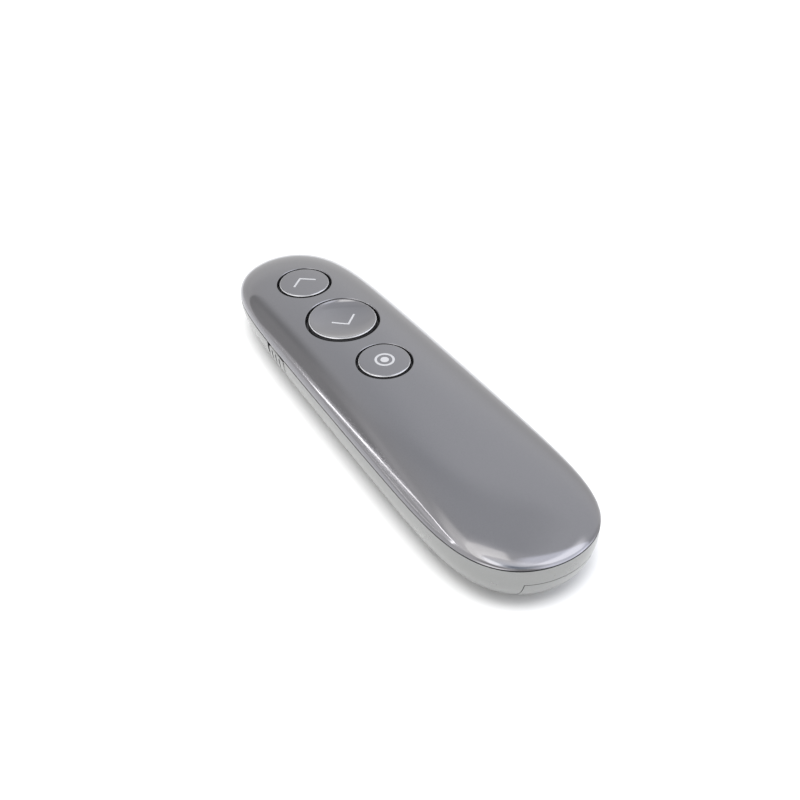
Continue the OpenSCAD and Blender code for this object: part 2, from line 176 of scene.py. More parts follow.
class Skin:
    """Vertices, faces and the normals of the faces that lie on a known surface."""

    def __init__(self):
        self.v, self.n, self.f, self.smooth = [], [], [], []
        self.count = 0

    def add(self, points, normals=None):
        points = np.asarray(points, float).reshape(-1, 3)
        start = self.count
        self.v.append(points)
        self.n.append(np.zeros_like(points) if normals is None else np.asarray(normals, float).reshape(-1, 3))
        self.count += len(points)
        return np.arange(start, self.count)

    def band(self, a, b, exact=False, flip=False):
        """Quads from ring a to ring b, which run the same way round."""
        a2, b2 = np.roll(a, -1), np.roll(b, -1)
        quads = np.stack([a, b, b2, a2], 1)
        if flip:
            quads = quads[:, ::-1]
        self.f += quads.tolist()
        self.smooth += [exact] * len(quads)

    def tris(self, faces, exact=False):
        self.f += [list(map(int, q)) for q in faces]
        self.smooth += [exact] * len(faces)

    def mesh(self, name):
        return build(name, np.concatenate(self.v), self.f, np.concatenate(self.n), self.smooth)


def build(name, verts, faces, normals=None, exact=None, angle=35):
    """A mesh in millimetres. Faces marked exact take their vertices' own normals."""
    me = bpy.data.meshes.new(name)
    me.from_pydata([tuple(p) for p in verts], [], faces)
    me.validate()
    me.update()
    me.polygons.foreach_set("use_smooth", np.ones(len(me.polygons), bool))
    if hasattr(me, "set_sharp_from_angle"):
        me.set_sharp_from_angle(angle=math.radians(angle))
    if normals is not None:
        set_normals(me, np.asarray(normals), np.asarray(exact, bool))
    return me


def corner_normals(me):
    out = np.zeros(len(me.loops) * 3, np.float32)
    me.corner_normals.foreach_get("vector", out)
    return out.reshape(-1, 3)


def set_normals(me, vertex_normals, exact_faces):
    loops = np.zeros(len(me.loops), np.int32)
    me.loops.foreach_get("vertex_index", loops)
    totals = np.zeros(len(me.polygons), np.int32)
    me.polygons.foreach_get("loop_total", totals)
    use = np.repeat(exact_faces, totals)
    n = corner_normals(me).astype(float)
    n[use] = unit(vertex_normals[loops[use]])
    me.normals_split_custom_set(n.tolist())


def on_surfaces(me, surfaces, tol=0.02):
    """Gives every face that lies on one of the surfaces that surface's own normals."""
    co = np.zeros(len(me.vertices) * 3, np.float32)
    me.vertices.foreach_get("co", co)
    co = co.reshape(-1, 3).astype(float)
    loops = np.zeros(len(me.loops), np.int32)
    me.loops.foreach_get("vertex_index", loops)
    start = np.zeros(len(me.polygons), np.int32)
    me.polygons.foreach_get("loop_start", start)
    totals = np.zeros(len(me.polygons), np.int32)
    me.polygons.foreach_get("loop_total", totals)
    fn = np.zeros(len(me.polygons) * 3, np.float32)
    me.polygons.foreach_get("normal", fn)
    fn = fn.reshape(-1, 3)
    out = corner_normals(me).astype(float)
    face_of = np.repeat(np.arange(len(totals)), totals)
    for height, normal, shift in surfaces:
        p = co - np.asarray(shift, float)
        n = normal(p[:, 0], p[:, 1])
        off = np.abs((p[:, 2] - height(p[:, 0], p[:, 1])) * n[:, 2])
        near = off < tol
        ok_loop = near[loops] & ((n[loops] * fn[face_of]).sum(1) > 0.86)
        ok_face = np.minimum.reduceat(ok_loop.astype(int), start) > 0
        use = ok_face[face_of]
        out[use] = n[loops[use]]
    me.normals_split_custom_set(out.tolist())


def cap(skin, boundary, holes, height, spacing, up=True, normal=None, extra_rings=()):
    """Fills a ring, with round holes in it, by a dense mesh of triangles on a height function.
    boundary and each hole's ring are vertex numbers that are in the skin already."""
    allv = np.concatenate(skin.v)
    ids = list(boundary)
    edges = [(i, (i + 1) % len(boundary)) for i in range(len(boundary))]
    for ring, _, _, _ in holes:
        s = len(ids)
        ids += list(ring)
        edges += [(s + i, s + (i + 1) % len(ring)) for i in range(len(ring))]
    fixed = allv[ids][:, :2]
    free = []
    for _, cx, cy, r in holes:
        for k, dr in enumerate(extra_rings):
            n = 96 if dr < 1 else 72
            a = angles(n) + (math.pi / n if k % 2 == 0 else 0)
            free.append(np.stack([cx + (r + dr) * np.cos(a), cy + (r + dr) * np.sin(a)], 1))
    keep_off = (max(extra_rings) if extra_rings else 0) + spacing * 0.6
    xs = np.arange(-18, 18.01, spacing)
    ys = np.arange(-60, 60.01, spacing * 0.87)
    gx, gy = np.meshgrid(xs, ys)
    gx = gx + (np.arange(len(ys)) % 2)[:, None] * spacing / 2
    p = np.stack([gx.ravel(), gy.ravel()], 1)
    edge = fixed[: len(boundary)]
    keep = inside(p, edge)
    near = np.array([((edge - q) ** 2).sum(1).min() for q in p[keep]]) > (spacing * 0.7) ** 2
    p = p[keep][near]
    for _, cx, cy, r in holes:
        p = p[np.hypot(p[:, 0] - cx, p[:, 1] - cy) > r + keep_off]
    free.append(p)
    free = np.concatenate(free)
    ok = np.ones(len(free), bool)
    for _, cx, cy, r in holes:
        ok &= np.hypot(free[:, 0] - cx, free[:, 1] - cy) > r + 0.05
    free = free[ok]
    new = skin.add(
        np.column_stack([free, height(free[:, 0], free[:, 1])]),
        None if normal is None else normal(free[:, 0], free[:, 1]),
    )
    ids += list(new)
    pts = np.concatenate([fixed, free])
    _, _, tri, origin, _, _ = geometry.delaunay_2d_cdt([Vector(map(float, q)) for q in pts], edges, [], 0, 1e-7)
    back = [o[0] if o else -1 for o in origin]
    tri = np.array([[back[i] for i in q] for q in tri])
    tri = tri[(tri >= 0).all(1)]
    mid = pts[tri].mean(1)
    good = inside(mid, edge)
    for _, cx, cy, r in holes:
        good &= np.hypot(mid[:, 0] - cx, mid[:, 1] - cy) > r * 0.9995
    tri = tri[good]
    a, b, c = pts[tri[:, 0]], pts[tri[:, 1]], pts[tri[:, 2]]
    area = (b[:, 0] - a[:, 0]) * (c[:, 1] - a[:, 1]) - (b[:, 1] - a[:, 1]) * (c[:, 0] - a[:, 0])
    tri = np.where((area < 0)[:, None], tri[:, ::-1], tri)
    if not up:
        tri = tri[:, ::-1]
    skin.tris(np.array(ids)[tri], exact=normal is not None)


def inside(p, polygon):
    """Which points are inside a closed outline."""
    out = np.zeros(len(p), bool)
    x0, y0 = polygon[:, 0], polygon[:, 1]
    x1, y1 = np.roll(x0, -1), np.roll(y0, -1)
    for a, b, c, d in zip(x0, y0, x1, y1):
        if b == d:
            continue
        crosses = ((b > p[:, 1]) != (d > p[:, 1])) & (p[:, 0] < (c - a) * (p[:, 1] - b) / (d - b) + a)
        out ^= crosses
    return out


def obj(name, me, scale=MM):
    """Links a mesh made in millimetres as an object in metres."""
    if scale != 1:
        me.transform(Matrix.Scale(scale, 4))
        me.update()
    o = bpy.data.objects.new(name, me)
    scene.collection.objects.link(o)
    return o


def box_mesh(name, x0, x1, y0, y1, z0, z1):
    v = [(x, y, z) for z in (z0, z1) for y in (y0, y1) for x in (x0, x1)]
    f = [(0, 2, 3, 1), (4, 5, 7, 6), (0, 1, 5, 4), (2, 6, 7, 3), (0, 4, 6, 2), (1, 3, 7, 5)]
    return build(name, v, f)


def tube_mesh(name, a, b, r, n=64, r2=None, steps=None):
    """A closed round rod from a to b; steps gives (share of the length, radius) pairs."""
    a, b = Vector(a), Vector(b)
    d = (b - a).normalized()
    u = d.orthogonal().normalized()
    w = d.cross(u)
    steps = steps or [(0, r), (1, r if r2 is None else r2)]
    verts, faces = [], []
    for s, q in steps:
        c = a.lerp(b, s)
        verts += [tuple(c + u * q * math.cos(t) + w * q * math.sin(t)) for t in angles(n)]
    for k in range(len(steps) - 1):
        for i in range(n):
            j = (i + 1) % n
            faces.append((k * n + i, k * n + j, (k + 1) * n + j, (k + 1) * n + i))
    m = len(steps) - 1
    faces.append(tuple(reversed(range(n))))
    faces.append(tuple(range(m * n, m * n + n)))
    return build(name, verts, faces)


def carve(base, steps, solver="MANIFOLD"):
    """Applies solids to a base mesh in turn: ("UNION" | "DIFFERENCE" | "INTERSECT", mesh). All in millimetres."""
    o = bpy.data.objects.new("carve", base)
    scene.collection.objects.link(o)
    made = [o]
    for how, me in steps:
        c = bpy.data.objects.new("cutter", me)
        scene.collection.objects.link(c)
        c.hide_render = True
        made.append(c)
        m = o.modifiers.new("b", "BOOLEAN")
        m.operation, m.object = how, c
        m.solver = solver
    bpy.context.view_layer.update()
    dg = bpy.context.evaluated_depsgraph_get()
    out = bpy.data.meshes.new_from_object(o.evaluated_get(dg))
    for x in made:
        bpy.data.objects.remove(x)
    out.materials.clear()
    out.polygons.foreach_set("use_smooth", np.ones(len(out.polygons), bool))
    out.update()
    out.set_sharp_from_angle(angle=math.radians(35))
    return out


# ---------------------------------------------------------------- top shell

N = 360
ANG = angles(N)
CASE = [(-8.1, 49.8, 5.4, 8.2), (8.1, 49.8, 5.4, 8.2), (-11.2, -33, 4.2, 10.2), (11.2, -33, 4.2, 10.2)]
RIMS = {"previous_button": 0.24, "next_button": 0.36, "laser_button": 0.24}  # width of the holes' rounded edges


def outline_normal(x, y, d=0.0):
    gx, gy = gg_slope(x, y, d)
    n = np.stack([gx, gy], -1)
    return n / np.linalg.norm(n, axis=-1, keepdims=True)


def level(f, power, root):
    """The outline level at which a surface has the share f of its height."""
    return (1 - f**root) ** (1 / power)


TURN = ((1, 0), (0.82, 12), (0.64, 26), (0.46, 42), (0.28, 57), (0.12, 70), (0.04, 80), (0, 90))


def bevel(width, turn=1.0):
    """A rounded edge in section, from the surface to the wall: (distance from the wall, drop, tilt in radians)."""
    out, drop = [], 0.0
    for i, (s, t) in enumerate(TURN):
        if i:
            drop += (TURN[i - 1][0] - s) * width * math.tan(math.radians((TURN[i - 1][1] + t) / 2))
        out.append((s * width, drop, math.radians(t)))
    return out


def rim_normals(me):
    """Gives the rounded edges of the button holes their own normals."""
    co = np.zeros(len(me.vertices) * 3, np.float32)
    me.vertices.foreach_get("co", co)
    co = co.reshape(-1, 3).astype(float)
    loops = np.zeros(len(me.loops), np.int32)
    me.loops.foreach_get("vertex_index", loops)
    start = np.zeros(len(me.polygons), np.int32)
    me.polygons.foreach_get("loop_start", start)
    totals = np.zeros(len(me.polygons), np.int32)
    me.polygons.foreach_get("loop_total", totals)
    face_of = np.repeat(np.arange(len(totals)), totals)
    out = corner_normals(me).astype(float)
    base = n_top(co[:, 0], co[:, 1])
    for key, (y0, r, _, _, _) in BUTTONS.items():
        rows = bevel(RIMS[key])[::-1]
        off = np.hypot(co[:, 0], co[:, 1] - y0) - r
        drop = np.interp(off, [q[0] for q in rows], [q[1] for q in rows])
        tilt = np.interp(off, [q[0] for q in rows], [q[2] for q in rows])
        on = (off > -0.004) & (off < RIMS[key] + 0.004) & (np.abs(z_top(co[:, 0], co[:, 1]) - co[:, 2] - drop) < 0.02)
        face = np.minimum.reduceat(on[loops].astype(int), start) > 0
        axis = unit(np.stack([-co[:, 0], y0 - co[:, 1], np.zeros(len(co))], 1))
        n = unit(base * np.cos(tilt)[:, None] + axis * np.sin(tilt)[:, None])
        use = face[face_of]
        out[use] = n[loops[use]]
    me.normals_split_custom_set(out.tolist())


def make_top_shell():
    s = Skin()
    fs = [0.86, 0.8, 0.74, 0.68, 0.62, 0.56, 0.5, 0.44, 0.38, 0.32, 0.27, 0.22, 0.175, 0.135, 0.1, 0.07]
    rings = []
    for f in fs:
        x, y = ring_xy(level(f, 1.5, 2.1), 0, ANG)
        rings.append(s.add(np.stack([x, y, z_top(x, y)], 1), n_top(x, y)))
    for a, b in zip(rings, rings[1:]):
        s.band(a, b, exact=True)
    # rounded lower edge, the flat rim and the step over the other shell's lip
    x, y = ring_xy(1, 0, ANG)
    n2 = outline_normal(x, y)
    base = pz(tt(y)) + GAP
    flat = np.stack([n2[:, 0], n2[:, 1], np.zeros(N)], 1)
    down = np.array([0, 0, -1.0])
    last = rings[-1]
    for q in (35, 65, 90):
        c = math.radians(q)
        off = EDGE * (1 - math.cos(c))
        pts = np.stack([x - n2[:, 0] * off, y - n2[:, 1] * off, base + EDGE * (1 - math.sin(c))], 1)
        ring = s.add(pts, unit(flat * math.cos(c) + down * math.sin(c)))
        s.band(last, ring, exact=True)
        last = ring
    x1, y1 = ring_xy(1, 0.75, ANG)
    for z in (pz(tt(y1)) + GAP, pz(tt(y1)) + lip(tt(y1)) + 0.05):
        ring = s.add(np.stack([x1, y1, z], 1))
        s.band(last, ring)
        last = ring

    def ceiling(px, py):
        return np.maximum(z_top(px, py, WALL_T), pz(tt(py)) + lip(tt(py)) + 0.1)

    for g in (1.0, 0.93, 0.82, 0.66, 0.5):
        x, y = ring_xy(g, WALL_T, ANG)
        ring = s.add(np.stack([x, y, ceiling(x, y)], 1))
        s.band(last, ring)
        last = ring
    inner = last
    outer_holes, inner_holes = [], []
    n = 96
    a = angles(n)
    for key, (y0, r, _, _, _) in BUTTONS.items():
        prev = None
        across = RIMS[key]
        axis = np.stack([-np.cos(a), -np.sin(a), np.zeros(n)], 1)
        for off, drop, c in bevel(across):
            x, y = (r + off) * np.cos(a), y0 + (r + off) * np.sin(a)
            nn = unit(n_top(x, y) * math.cos(c) + axis * math.sin(c))
            ring = s.add(np.stack([x, y, z_top(x, y) - drop], 1), nn)
            if prev is None:
                outer_holes.append((ring, 0, y0, r + across))
            else:
                s.band(prev, ring, exact=True, flip=True)
            prev = ring
        x, y = r * np.cos(a), y0 + r * np.sin(a)
        ring = s.add(np.stack([x, y, ceiling(x, y)], 1), axis)
        s.band(prev, ring, exact=True, flip=True)
        inner_holes.append((ring, 0, y0, r))
    cap(s, rings[0], outer_holes, z_top, 1.15, True, n_top, (0.22, 0.6, 1.2))
    cap(s, inner, inner_holes, ceiling, 2.2, False)
    me = s.mesh("top_shell")
    # screw bosses on the inside
    posts = []
    for x, y, _, meet in CASE:
        top = float(z_top(np.array([x]), np.array([y]))[0])
        posts.append(("UNION", tube_mesh("p", (x, y, meet + 0.05), (x, y, top - 1.0), 1.9)))
    for x, y, _, meet in CASE:
        top = float(z_top(np.array([x]), np.array([y]))[0])
        posts.append(("DIFFERENCE", tube_mesh("p", (x, y, meet - 1), (x, y, top - 1.7), 0.95)))
    out = carve(me, posts)
    return out, s


# ---------------------------------------------------------------- bottom shell, battery door and power slider

DOOR_HW, DOOR_FRONT, DOOR_END, DOOR_GAP = 7.8, 17.0, 9.7, 0.15
KNOB_Y, KNOB_L, SLIDE_TRAVEL = 25.0, 6.9, 1.0
GRIP = (1.95, 1.75, 0.28, 0.65)  # the knob's grooves: first one, spacing, half their width, depth
WINDOW_Z = 8.0
BOARD = [(-10.9, 1.5), (10.9, 1.5), (-10.4, 37.5), (10.4, 37.5)]
FRAME_PTS = [(-9.9, -44), (9.9, -44)]


def lower_levels():
    """Outline levels for the underside, close together where it curves."""
    out = []
    for f in (0.06, 0.1, 0.14, 0.19, 0.25, 0.31, 0.37, 0.43, 0.5, 0.57, 0.64, 0.7, 0.76, 0.81, 0.85, 0.88, 0.893):
        out.append((1 - f**2.2) ** (1 / 1.1))
    return out


def make_bottom_skin():
    """The bottom shell's wall with no openings."""
    s = Skin()
    x, y = ring_xy(1, 0, ANG)
    n2 = outline_normal(x, y)
    base = pz(tt(y)) - GAP
    flat = np.stack([n2[:, 0], n2[:, 1], np.zeros(N)], 1)
    up = np.array([0, 0, 1.0])
    last = None
    for q in (90, 65, 35, 8):
        c = math.radians(q)
        off = EDGE * (1 - math.cos(c))
        pts = np.stack([x - n2[:, 0] * off, y - n2[:, 1] * off, base - EDGE * (1 - math.sin(c))], 1)
        ring = s.add(pts)
        if last is None:
            first = ring
        else:
            s.band(last, ring)
        last = ring
    for g in lower_levels():
        x, y = ring_xy(g, 0, ANG)
        ring = s.add(np.stack([x, y, z_bot(x, y)], 1))
        s.band(last, ring)
        last = ring
    for g in (0.18, 0.1, 0.04, 0.008):
        x, y = ring_xy(g, 0, ANG)
        ring = s.add(np.stack([x, y, z_bot(x, y)], 1))
        s.band(last, ring)
        last = ring
    centre = s.add([[0, 0, 0]])[0]
    s.tris([[last[i], centre, last[(i + 1) % N]] for i in range(N)])
    # inner side, from the rim to the middle
    last = first
    x1, y1 = ring_xy(1, 0.8, ANG)
    for z in (pz(tt(y1)) - GAP, pz(tt(y1)) + lip(tt(y1))):
        ring = s.add(np.stack([x1, y1, z], 1))
        s.band(last, ring, flip=True)
        last = ring
    x, y = ring_xy(1, WALL_B, ANG)
    ring = s.add(np.stack([x, y, pz(tt(y)) + lip(tt(y))], 1))
    s.band(last, ring, flip=True)
    last = ring
    for g in [0.998] + lower_levels()[::2] + [0.18, 0.06, 0.01]:
        x, y = ring_xy(g, WALL_B, ANG)
        ring = s.add(np.stack([x, y, z_bot(x, y, WALL_B)], 1))
        s.band(last, ring, flip=True)
        last = ring
    centre = s.add([[0, 0, WALL_B]])[0]
    s.tris([[last[(i + 1) % N], centre, last[i]] for i in range(N)])
    return s.mesh("skin")


def room_mesh(d):
    """The space inside the walls at inset d."""
    s = Skin()
    x, y = ring_xy(1, d, ANG)
    top = s.add(np.stack([x, y, pz(tt(y)) + 6], 1))
    last = top
    for g in [1.0] + lower_levels()[::2] + [0.18, 0.06, 0.01]:
        x, y = ring_xy(g, d, ANG)
        ring = s.add(np.stack([x, y, z_bot(x, y, d) if g < 1 else pz(tt(y))], 1))
        s.band(last, ring)
        last = ring
    centre = s.add([[0, 0, d]])[0]
    s.tris([[last[i], centre, last[(i + 1) % N]] for i in range(N)])
    centre = s.add([[0, 0, 18]])[0]
    s.tris([[top[(i + 1) % N], centre, top[i]] for i in range(N)])
    return s.mesh("room")


def extrude_mesh(name, outline, axis, a, b):
    """A closed prism: outline points in the two other axes, between a and b along axis."""
    n = len(outline)

    def at(p, w):
        q = list(p)
        q.insert(axis, w)
        return tuple(q)

    verts = [at(p, a) for p in outline] + [at(p, b) for p in outline]
    faces = [(i, (i + 1) % n, n + (i + 1) % n, n + i) for i in range(n)]
    faces += [tuple(reversed(range(n))), tuple(range(n, 2 * n))]
    me = build(name, verts, faces)
    fix_outward(me)
    return me


def fix_outward(me):
    """Turns all faces over if the mesh is inside out."""
    vol = 0.0
    for p in me.polygons:
        vs = [me.vertices[i].co for i in p.vertices]
        for i in range(1, len(vs) - 1):
            vol += vs[0].dot(vs[i].cross(vs[i + 1]))
    if vol < 0:
        me.flip_normals()
    return me


def rounded_rect(x0, x1, y0, y1, r, n=6):
    """Outline with rounded corners, as (u, v) points."""
    out = []
    for cx, cy, a0 in ((x1 - r, y1 - r, 0), (x0 + r, y1 - r, 90), (x0 + r, y0 + r, 180), (x1 - r, y0 + r, 270)):
        for k in range(n + 1):
            a = math.radians(a0 + 90 * k / n)
            out.append((cx + r * math.cos(a), cy + r * math.sin(a)))
    return out


def make_bottom_shell(skin, room):
    inner = []
    for x, y, seat, meet in CASE:
        inner.append(tube_mesh("a", (x, y, 1), (x, y, seat + 1), 2.9))
        inner.append(tube_mesh("a", (x, y, 1), (x, y, meet - 0.05), 2.1))
    for x, y in BOARD:
        inner.append(tube_mesh("a", (x, y, 1), (x, y, 8.0 - (0.9 if y < 28 else 0.05)), 1.5))
    for x, y in FRAME_PTS:
        inner.append(tube_mesh("a", (x, y, 1), (x, y, 6), 1.5))
    steps = []
    for m in inner:
        steps.append(("UNION", carve(m, [("INTERSECT", room.copy())])))
    steps.append(("UNION", box_mesh("a", -4.2, 4.2, 49.5, 54, 3.2, WINDOW_Z)))
    g = DOOR_GAP
    steps.append(("DIFFERENCE", box_mesh("a", -DOOR_HW - g, DOOR_HW + g, -61, DOOR_FRONT + g, -1, DOOR_END + g)))
    steps.append(("DIFFERENCE", box_mesh("a", -8.95, 8.95, -61, DOOR_FRONT + 1.75, 0.95, 1.75)))
    for x, y, seat, meet in CASE:
        low = float(z_bot(np.array([x]), np.array([y]))[0])
        # head recess
        steps.append(("DIFFERENCE", tube_mesh("a", (x, y, -1), (x, y, seat), 2.05)))
        steps.append(("DIFFERENCE", tube_mesh("a", (x, y, 3), (x, y, meet + 1), 1.15)))
    for x, y in BOARD:
        steps.append(("DIFFERENCE", tube_mesh("a", (x, y, 4.2), (x, y, 9), 0.75)))
    for x, y in FRAME_PTS:
        steps.append(("DIFFERENCE", tube_mesh("a", (x, y, 3.2), (x, y, 7), 0.75)))
    steps.append(("DIFFERENCE", tube_mesh("a", (0, 49, WINDOW_Z), (0, 55.8, WINDOW_Z), 2.85)))
    steps.append(("DIFFERENCE", tube_mesh("a", (0, 55, WINDOW_Z), (0, 61, WINDOW_Z), 2.6)))
    y0, y1 = KNOB_Y - 0.15, KNOB_Y + KNOB_L + SLIDE_TRAVEL + 0.15
    steps.append(("DIFFERENCE", box_mesh("a", -17, -12.2, y0, y1, 7.4, 13)))
    return carve(skin.copy(), steps)


def make_door(skin):
    steps = [("INTERSECT", box_mesh("a", -DOOR_HW, DOOR_HW, -61, DOOR_FRONT, -1, DOOR_END))]
    for s in (-1, 1):
        steps.append(("UNION", box_mesh("a", s * 8.1 - 0.75, s * 8.1 + 0.75, -40, DOOR_FRONT, 1.05, 1.65)))
    steps.append(("UNION", box_mesh("a", -DOOR_HW + 1, DOOR_HW - 1, DOOR_FRONT - 1, DOOR_FRONT + 1.5, 1.05, 1.65)))
    for k in range(5):  # thumb grip: round-bottomed grooves
        y = -40.6 + 1.6 * k
        arc = [(y + 0.42 * math.cos(t), 0.36 * math.sin(t) * 1.0) for t in np.linspace(0, math.pi, 13)]
        outline = [(y - 0.42, -0.5)] + [(a, b) for a, b in reversed(arc)] + [(y + 0.42, -0.5)]
        steps.append(("DIFFERENCE", extrude_mesh("a", outline, 0, -4.5, 4.5)))
    return carve(skin.copy(), steps)


def solid_bottom():
    """Everything inside the outer surface below the parting line."""
    s = Skin()
    x, y = ring_xy(1, 0, ANG)
    last = first = s.add(np.stack([x, y, pz(tt(y)) - GAP], 1))
    for g in lower_levels() + [0.18, 0.06, 0.01]:
        x, y = ring_xy(g, 0, ANG)
        ring = s.add(np.stack([x, y, z_bot(x, y)], 1))
        s.band(last, ring)
        last = ring
    centre = s.add([[0, 0, 0]])[0]
    s.tris([[last[i], centre, last[(i + 1) % N]] for i in range(N)])
    centre = s.add([[0, 0, 12.0]])[0]
    s.tris([[first[(i + 1) % N], centre, first[i]] for i in range(N)])
    return s.mesh("solid")


def side_x(y, z):
    """Where the left side of the underside's curve is, at a height."""
    lo, hi = -17.5, -5.0
    for _ in range(50):
        x = (lo + hi) / 2
        if gg(np.array([x]), np.array([y]))[0] < 1 and z_bot(np.array([x]), np.array([y]))[0] < z:
            hi = x
        else:
            lo = x
    return (lo + hi) / 2


def groove_mesh(y, z0, z1, half, depth):
    """A cutter with a round bottom that runs up the left side at a constant depth, shallower at its ends."""
    section = [(half, -0.6), (-half, -0.6)]
    section += [(-half * math.cos(a), depth - half + half * math.sin(a)) for a in np.linspace(0, math.pi, 9)]
    verts, faces = [], []
    m, n = 15, len(section)
    for i in range(m):
        z = z0 + (z1 - z0) * i / (m - 1)
        x = side_x(y, z)
        x2 = side_x(y, z + 0.05)
        nx, nz = -(0.05), (x2 - x)
        size = math.hypot(nx, nz)
        nx, nz = nx / size, nz / size
        if nx > 0:
            nx, nz = -nx, -nz
        end = min(1.0, 4.5 * min(i, m - 1 - i) / (m - 1) + 0.25)
        for u, w in section:
            d = w if w < 0 else w * end
            verts.append((x - 0.12 - nx * d, y + u, z - nz * d))
    for i in range(m - 1):
        for j in range(n):
            k = (j + 1) % n
            faces.append((i * n + j, i * n + k, (i + 1) * n + k, (i + 1) * n + j))
    faces += [tuple(reversed(range(n))), tuple(range((m - 1) * n, m * n))]
    return fix_outward(build("groove", verts, faces))


def make_slider():
    me = solid_bottom()
    me.transform(Matrix.Translation((-0.12, 0, 0)))
    y0, y1 = KNOB_Y, KNOB_Y + KNOB_L
    # its top edge runs along the parting line
    outline = [
        (y, z + (z - 7.6) / 3.4 * (float(pz(tt(np.array([y])))[0]) - 11.26)) for y, z in rounded_rect(y0, y1, 7.6, 11.0, 0.35)
    ]
    steps = [("INTERSECT", extrude_mesh("a", outline, 0, -18, -12.4))]
    for k in range(3):
        steps.append(("DIFFERENCE", groove_mesh(y0 + GRIP[0] + GRIP[1] * k, 8.15, 10.55, GRIP[2], GRIP[3])))
    steps.append(("UNION", box_mesh("a", -12.7, -12.3, y0, y1, 7.05, 10.9)))
    for y in (y0 + 2.2, y0 + 4.7):
        steps.append(("UNION", box_mesh("a", -12.6, -11.75, y - 0.1, y + 0.8, 9.3, 10.4)))
    return carve(me, steps)


# ---------------------------------------------------------------- buttons and their printed marks


def button_height(name):
    y0, hole, gap, _, dish = BUTTONS[name]
    r = hole - gap

    def height(x, y):
        q = np.minimum(1, np.hypot(x, y - y0) / r)
        return z_top(x, y) + PROUD[name] - dish * (1 - 0.68 * q**2 - 0.32 * q**6)

    return height


def make_button(name):
    y0, hole, gap, fz, dish = BUTTONS[name]
    r = hole - gap
    n = 160
    a = angles(n)
    height = button_height(name)
    edge = 0.42 if dish else 0.36
    s = Skin()
    last = None
    rows = [(q, 0.0, 0.0) for q in np.linspace(0.1, 0.97, 22) * (r - edge)]
    rows += [(r - off, drop, c) for off, drop, c in bevel(edge)]
    outward = np.stack([np.cos(a), np.sin(a), np.zeros(n)], 1)

    def face_normal(x, y):
        e = 0.01
        return unit(np.stack([
            (height(x - e, y) - height(x + e, y)) / (2 * e), (height(x, y - e) - height(x, y + e)) / (2 * e), np.ones_like(x),
        ], -1))

    mid = np.array([[0.0, y0]])
    centre = s.add([[0, y0, float(height(mid[:, 0], mid[:, 1])[0])]], face_normal(mid[:, 0], mid[:, 1]))[0]
    for q, drop, c in rows:
        x, y = q * np.cos(a), y0 + q * np.sin(a)
        inner = face_normal(x * (q - 0.02) / q, y0 + (y - y0) * (q - 0.02) / q)
        ring = s.add(np.stack([x, y, height(x, y) - drop], 1), unit(inner * math.cos(c) + outward * math.sin(c)))
        if last is None:
            s.tris([[centre, ring[i], ring[(i + 1) % n]] for i in range(n)], exact=True)
        else:
            s.band(last, ring, exact=True)
        last = ring

    def flat_ring(q, z):
        return s.add(np.stack([q * np.cos(a), y0 + q * np.sin(a), np.full(n, z)], 1))

    pocket = fz - 0.8 < 12.6
    profile = [(r, fz), (r + 1.15, fz), (r + 1.15, fz - 0.8), (r - 1.1, fz - 0.8), (r - 1.1, fz - 0.2)]
    if name == "previous_button":
        profile += [(1.95, fz - 0.2), (1.9, 12.6)] if not pocket else [(1.9, fz - 0.2), (1.9, fz - 0.1)]
    else:
        profile += [(1.6, fz - 0.2), (1.6, 12.6)]
    for q, z in profile:
        ring = flat_ring(q, z)
        s.band(last, ring)
        last = ring
    centre = s.add([[0, y0, profile[-1][1]]])[0]
    s.tris([[last[i], centre, last[(i + 1) % n]] for i in range(n)])
    return s.mesh(name)


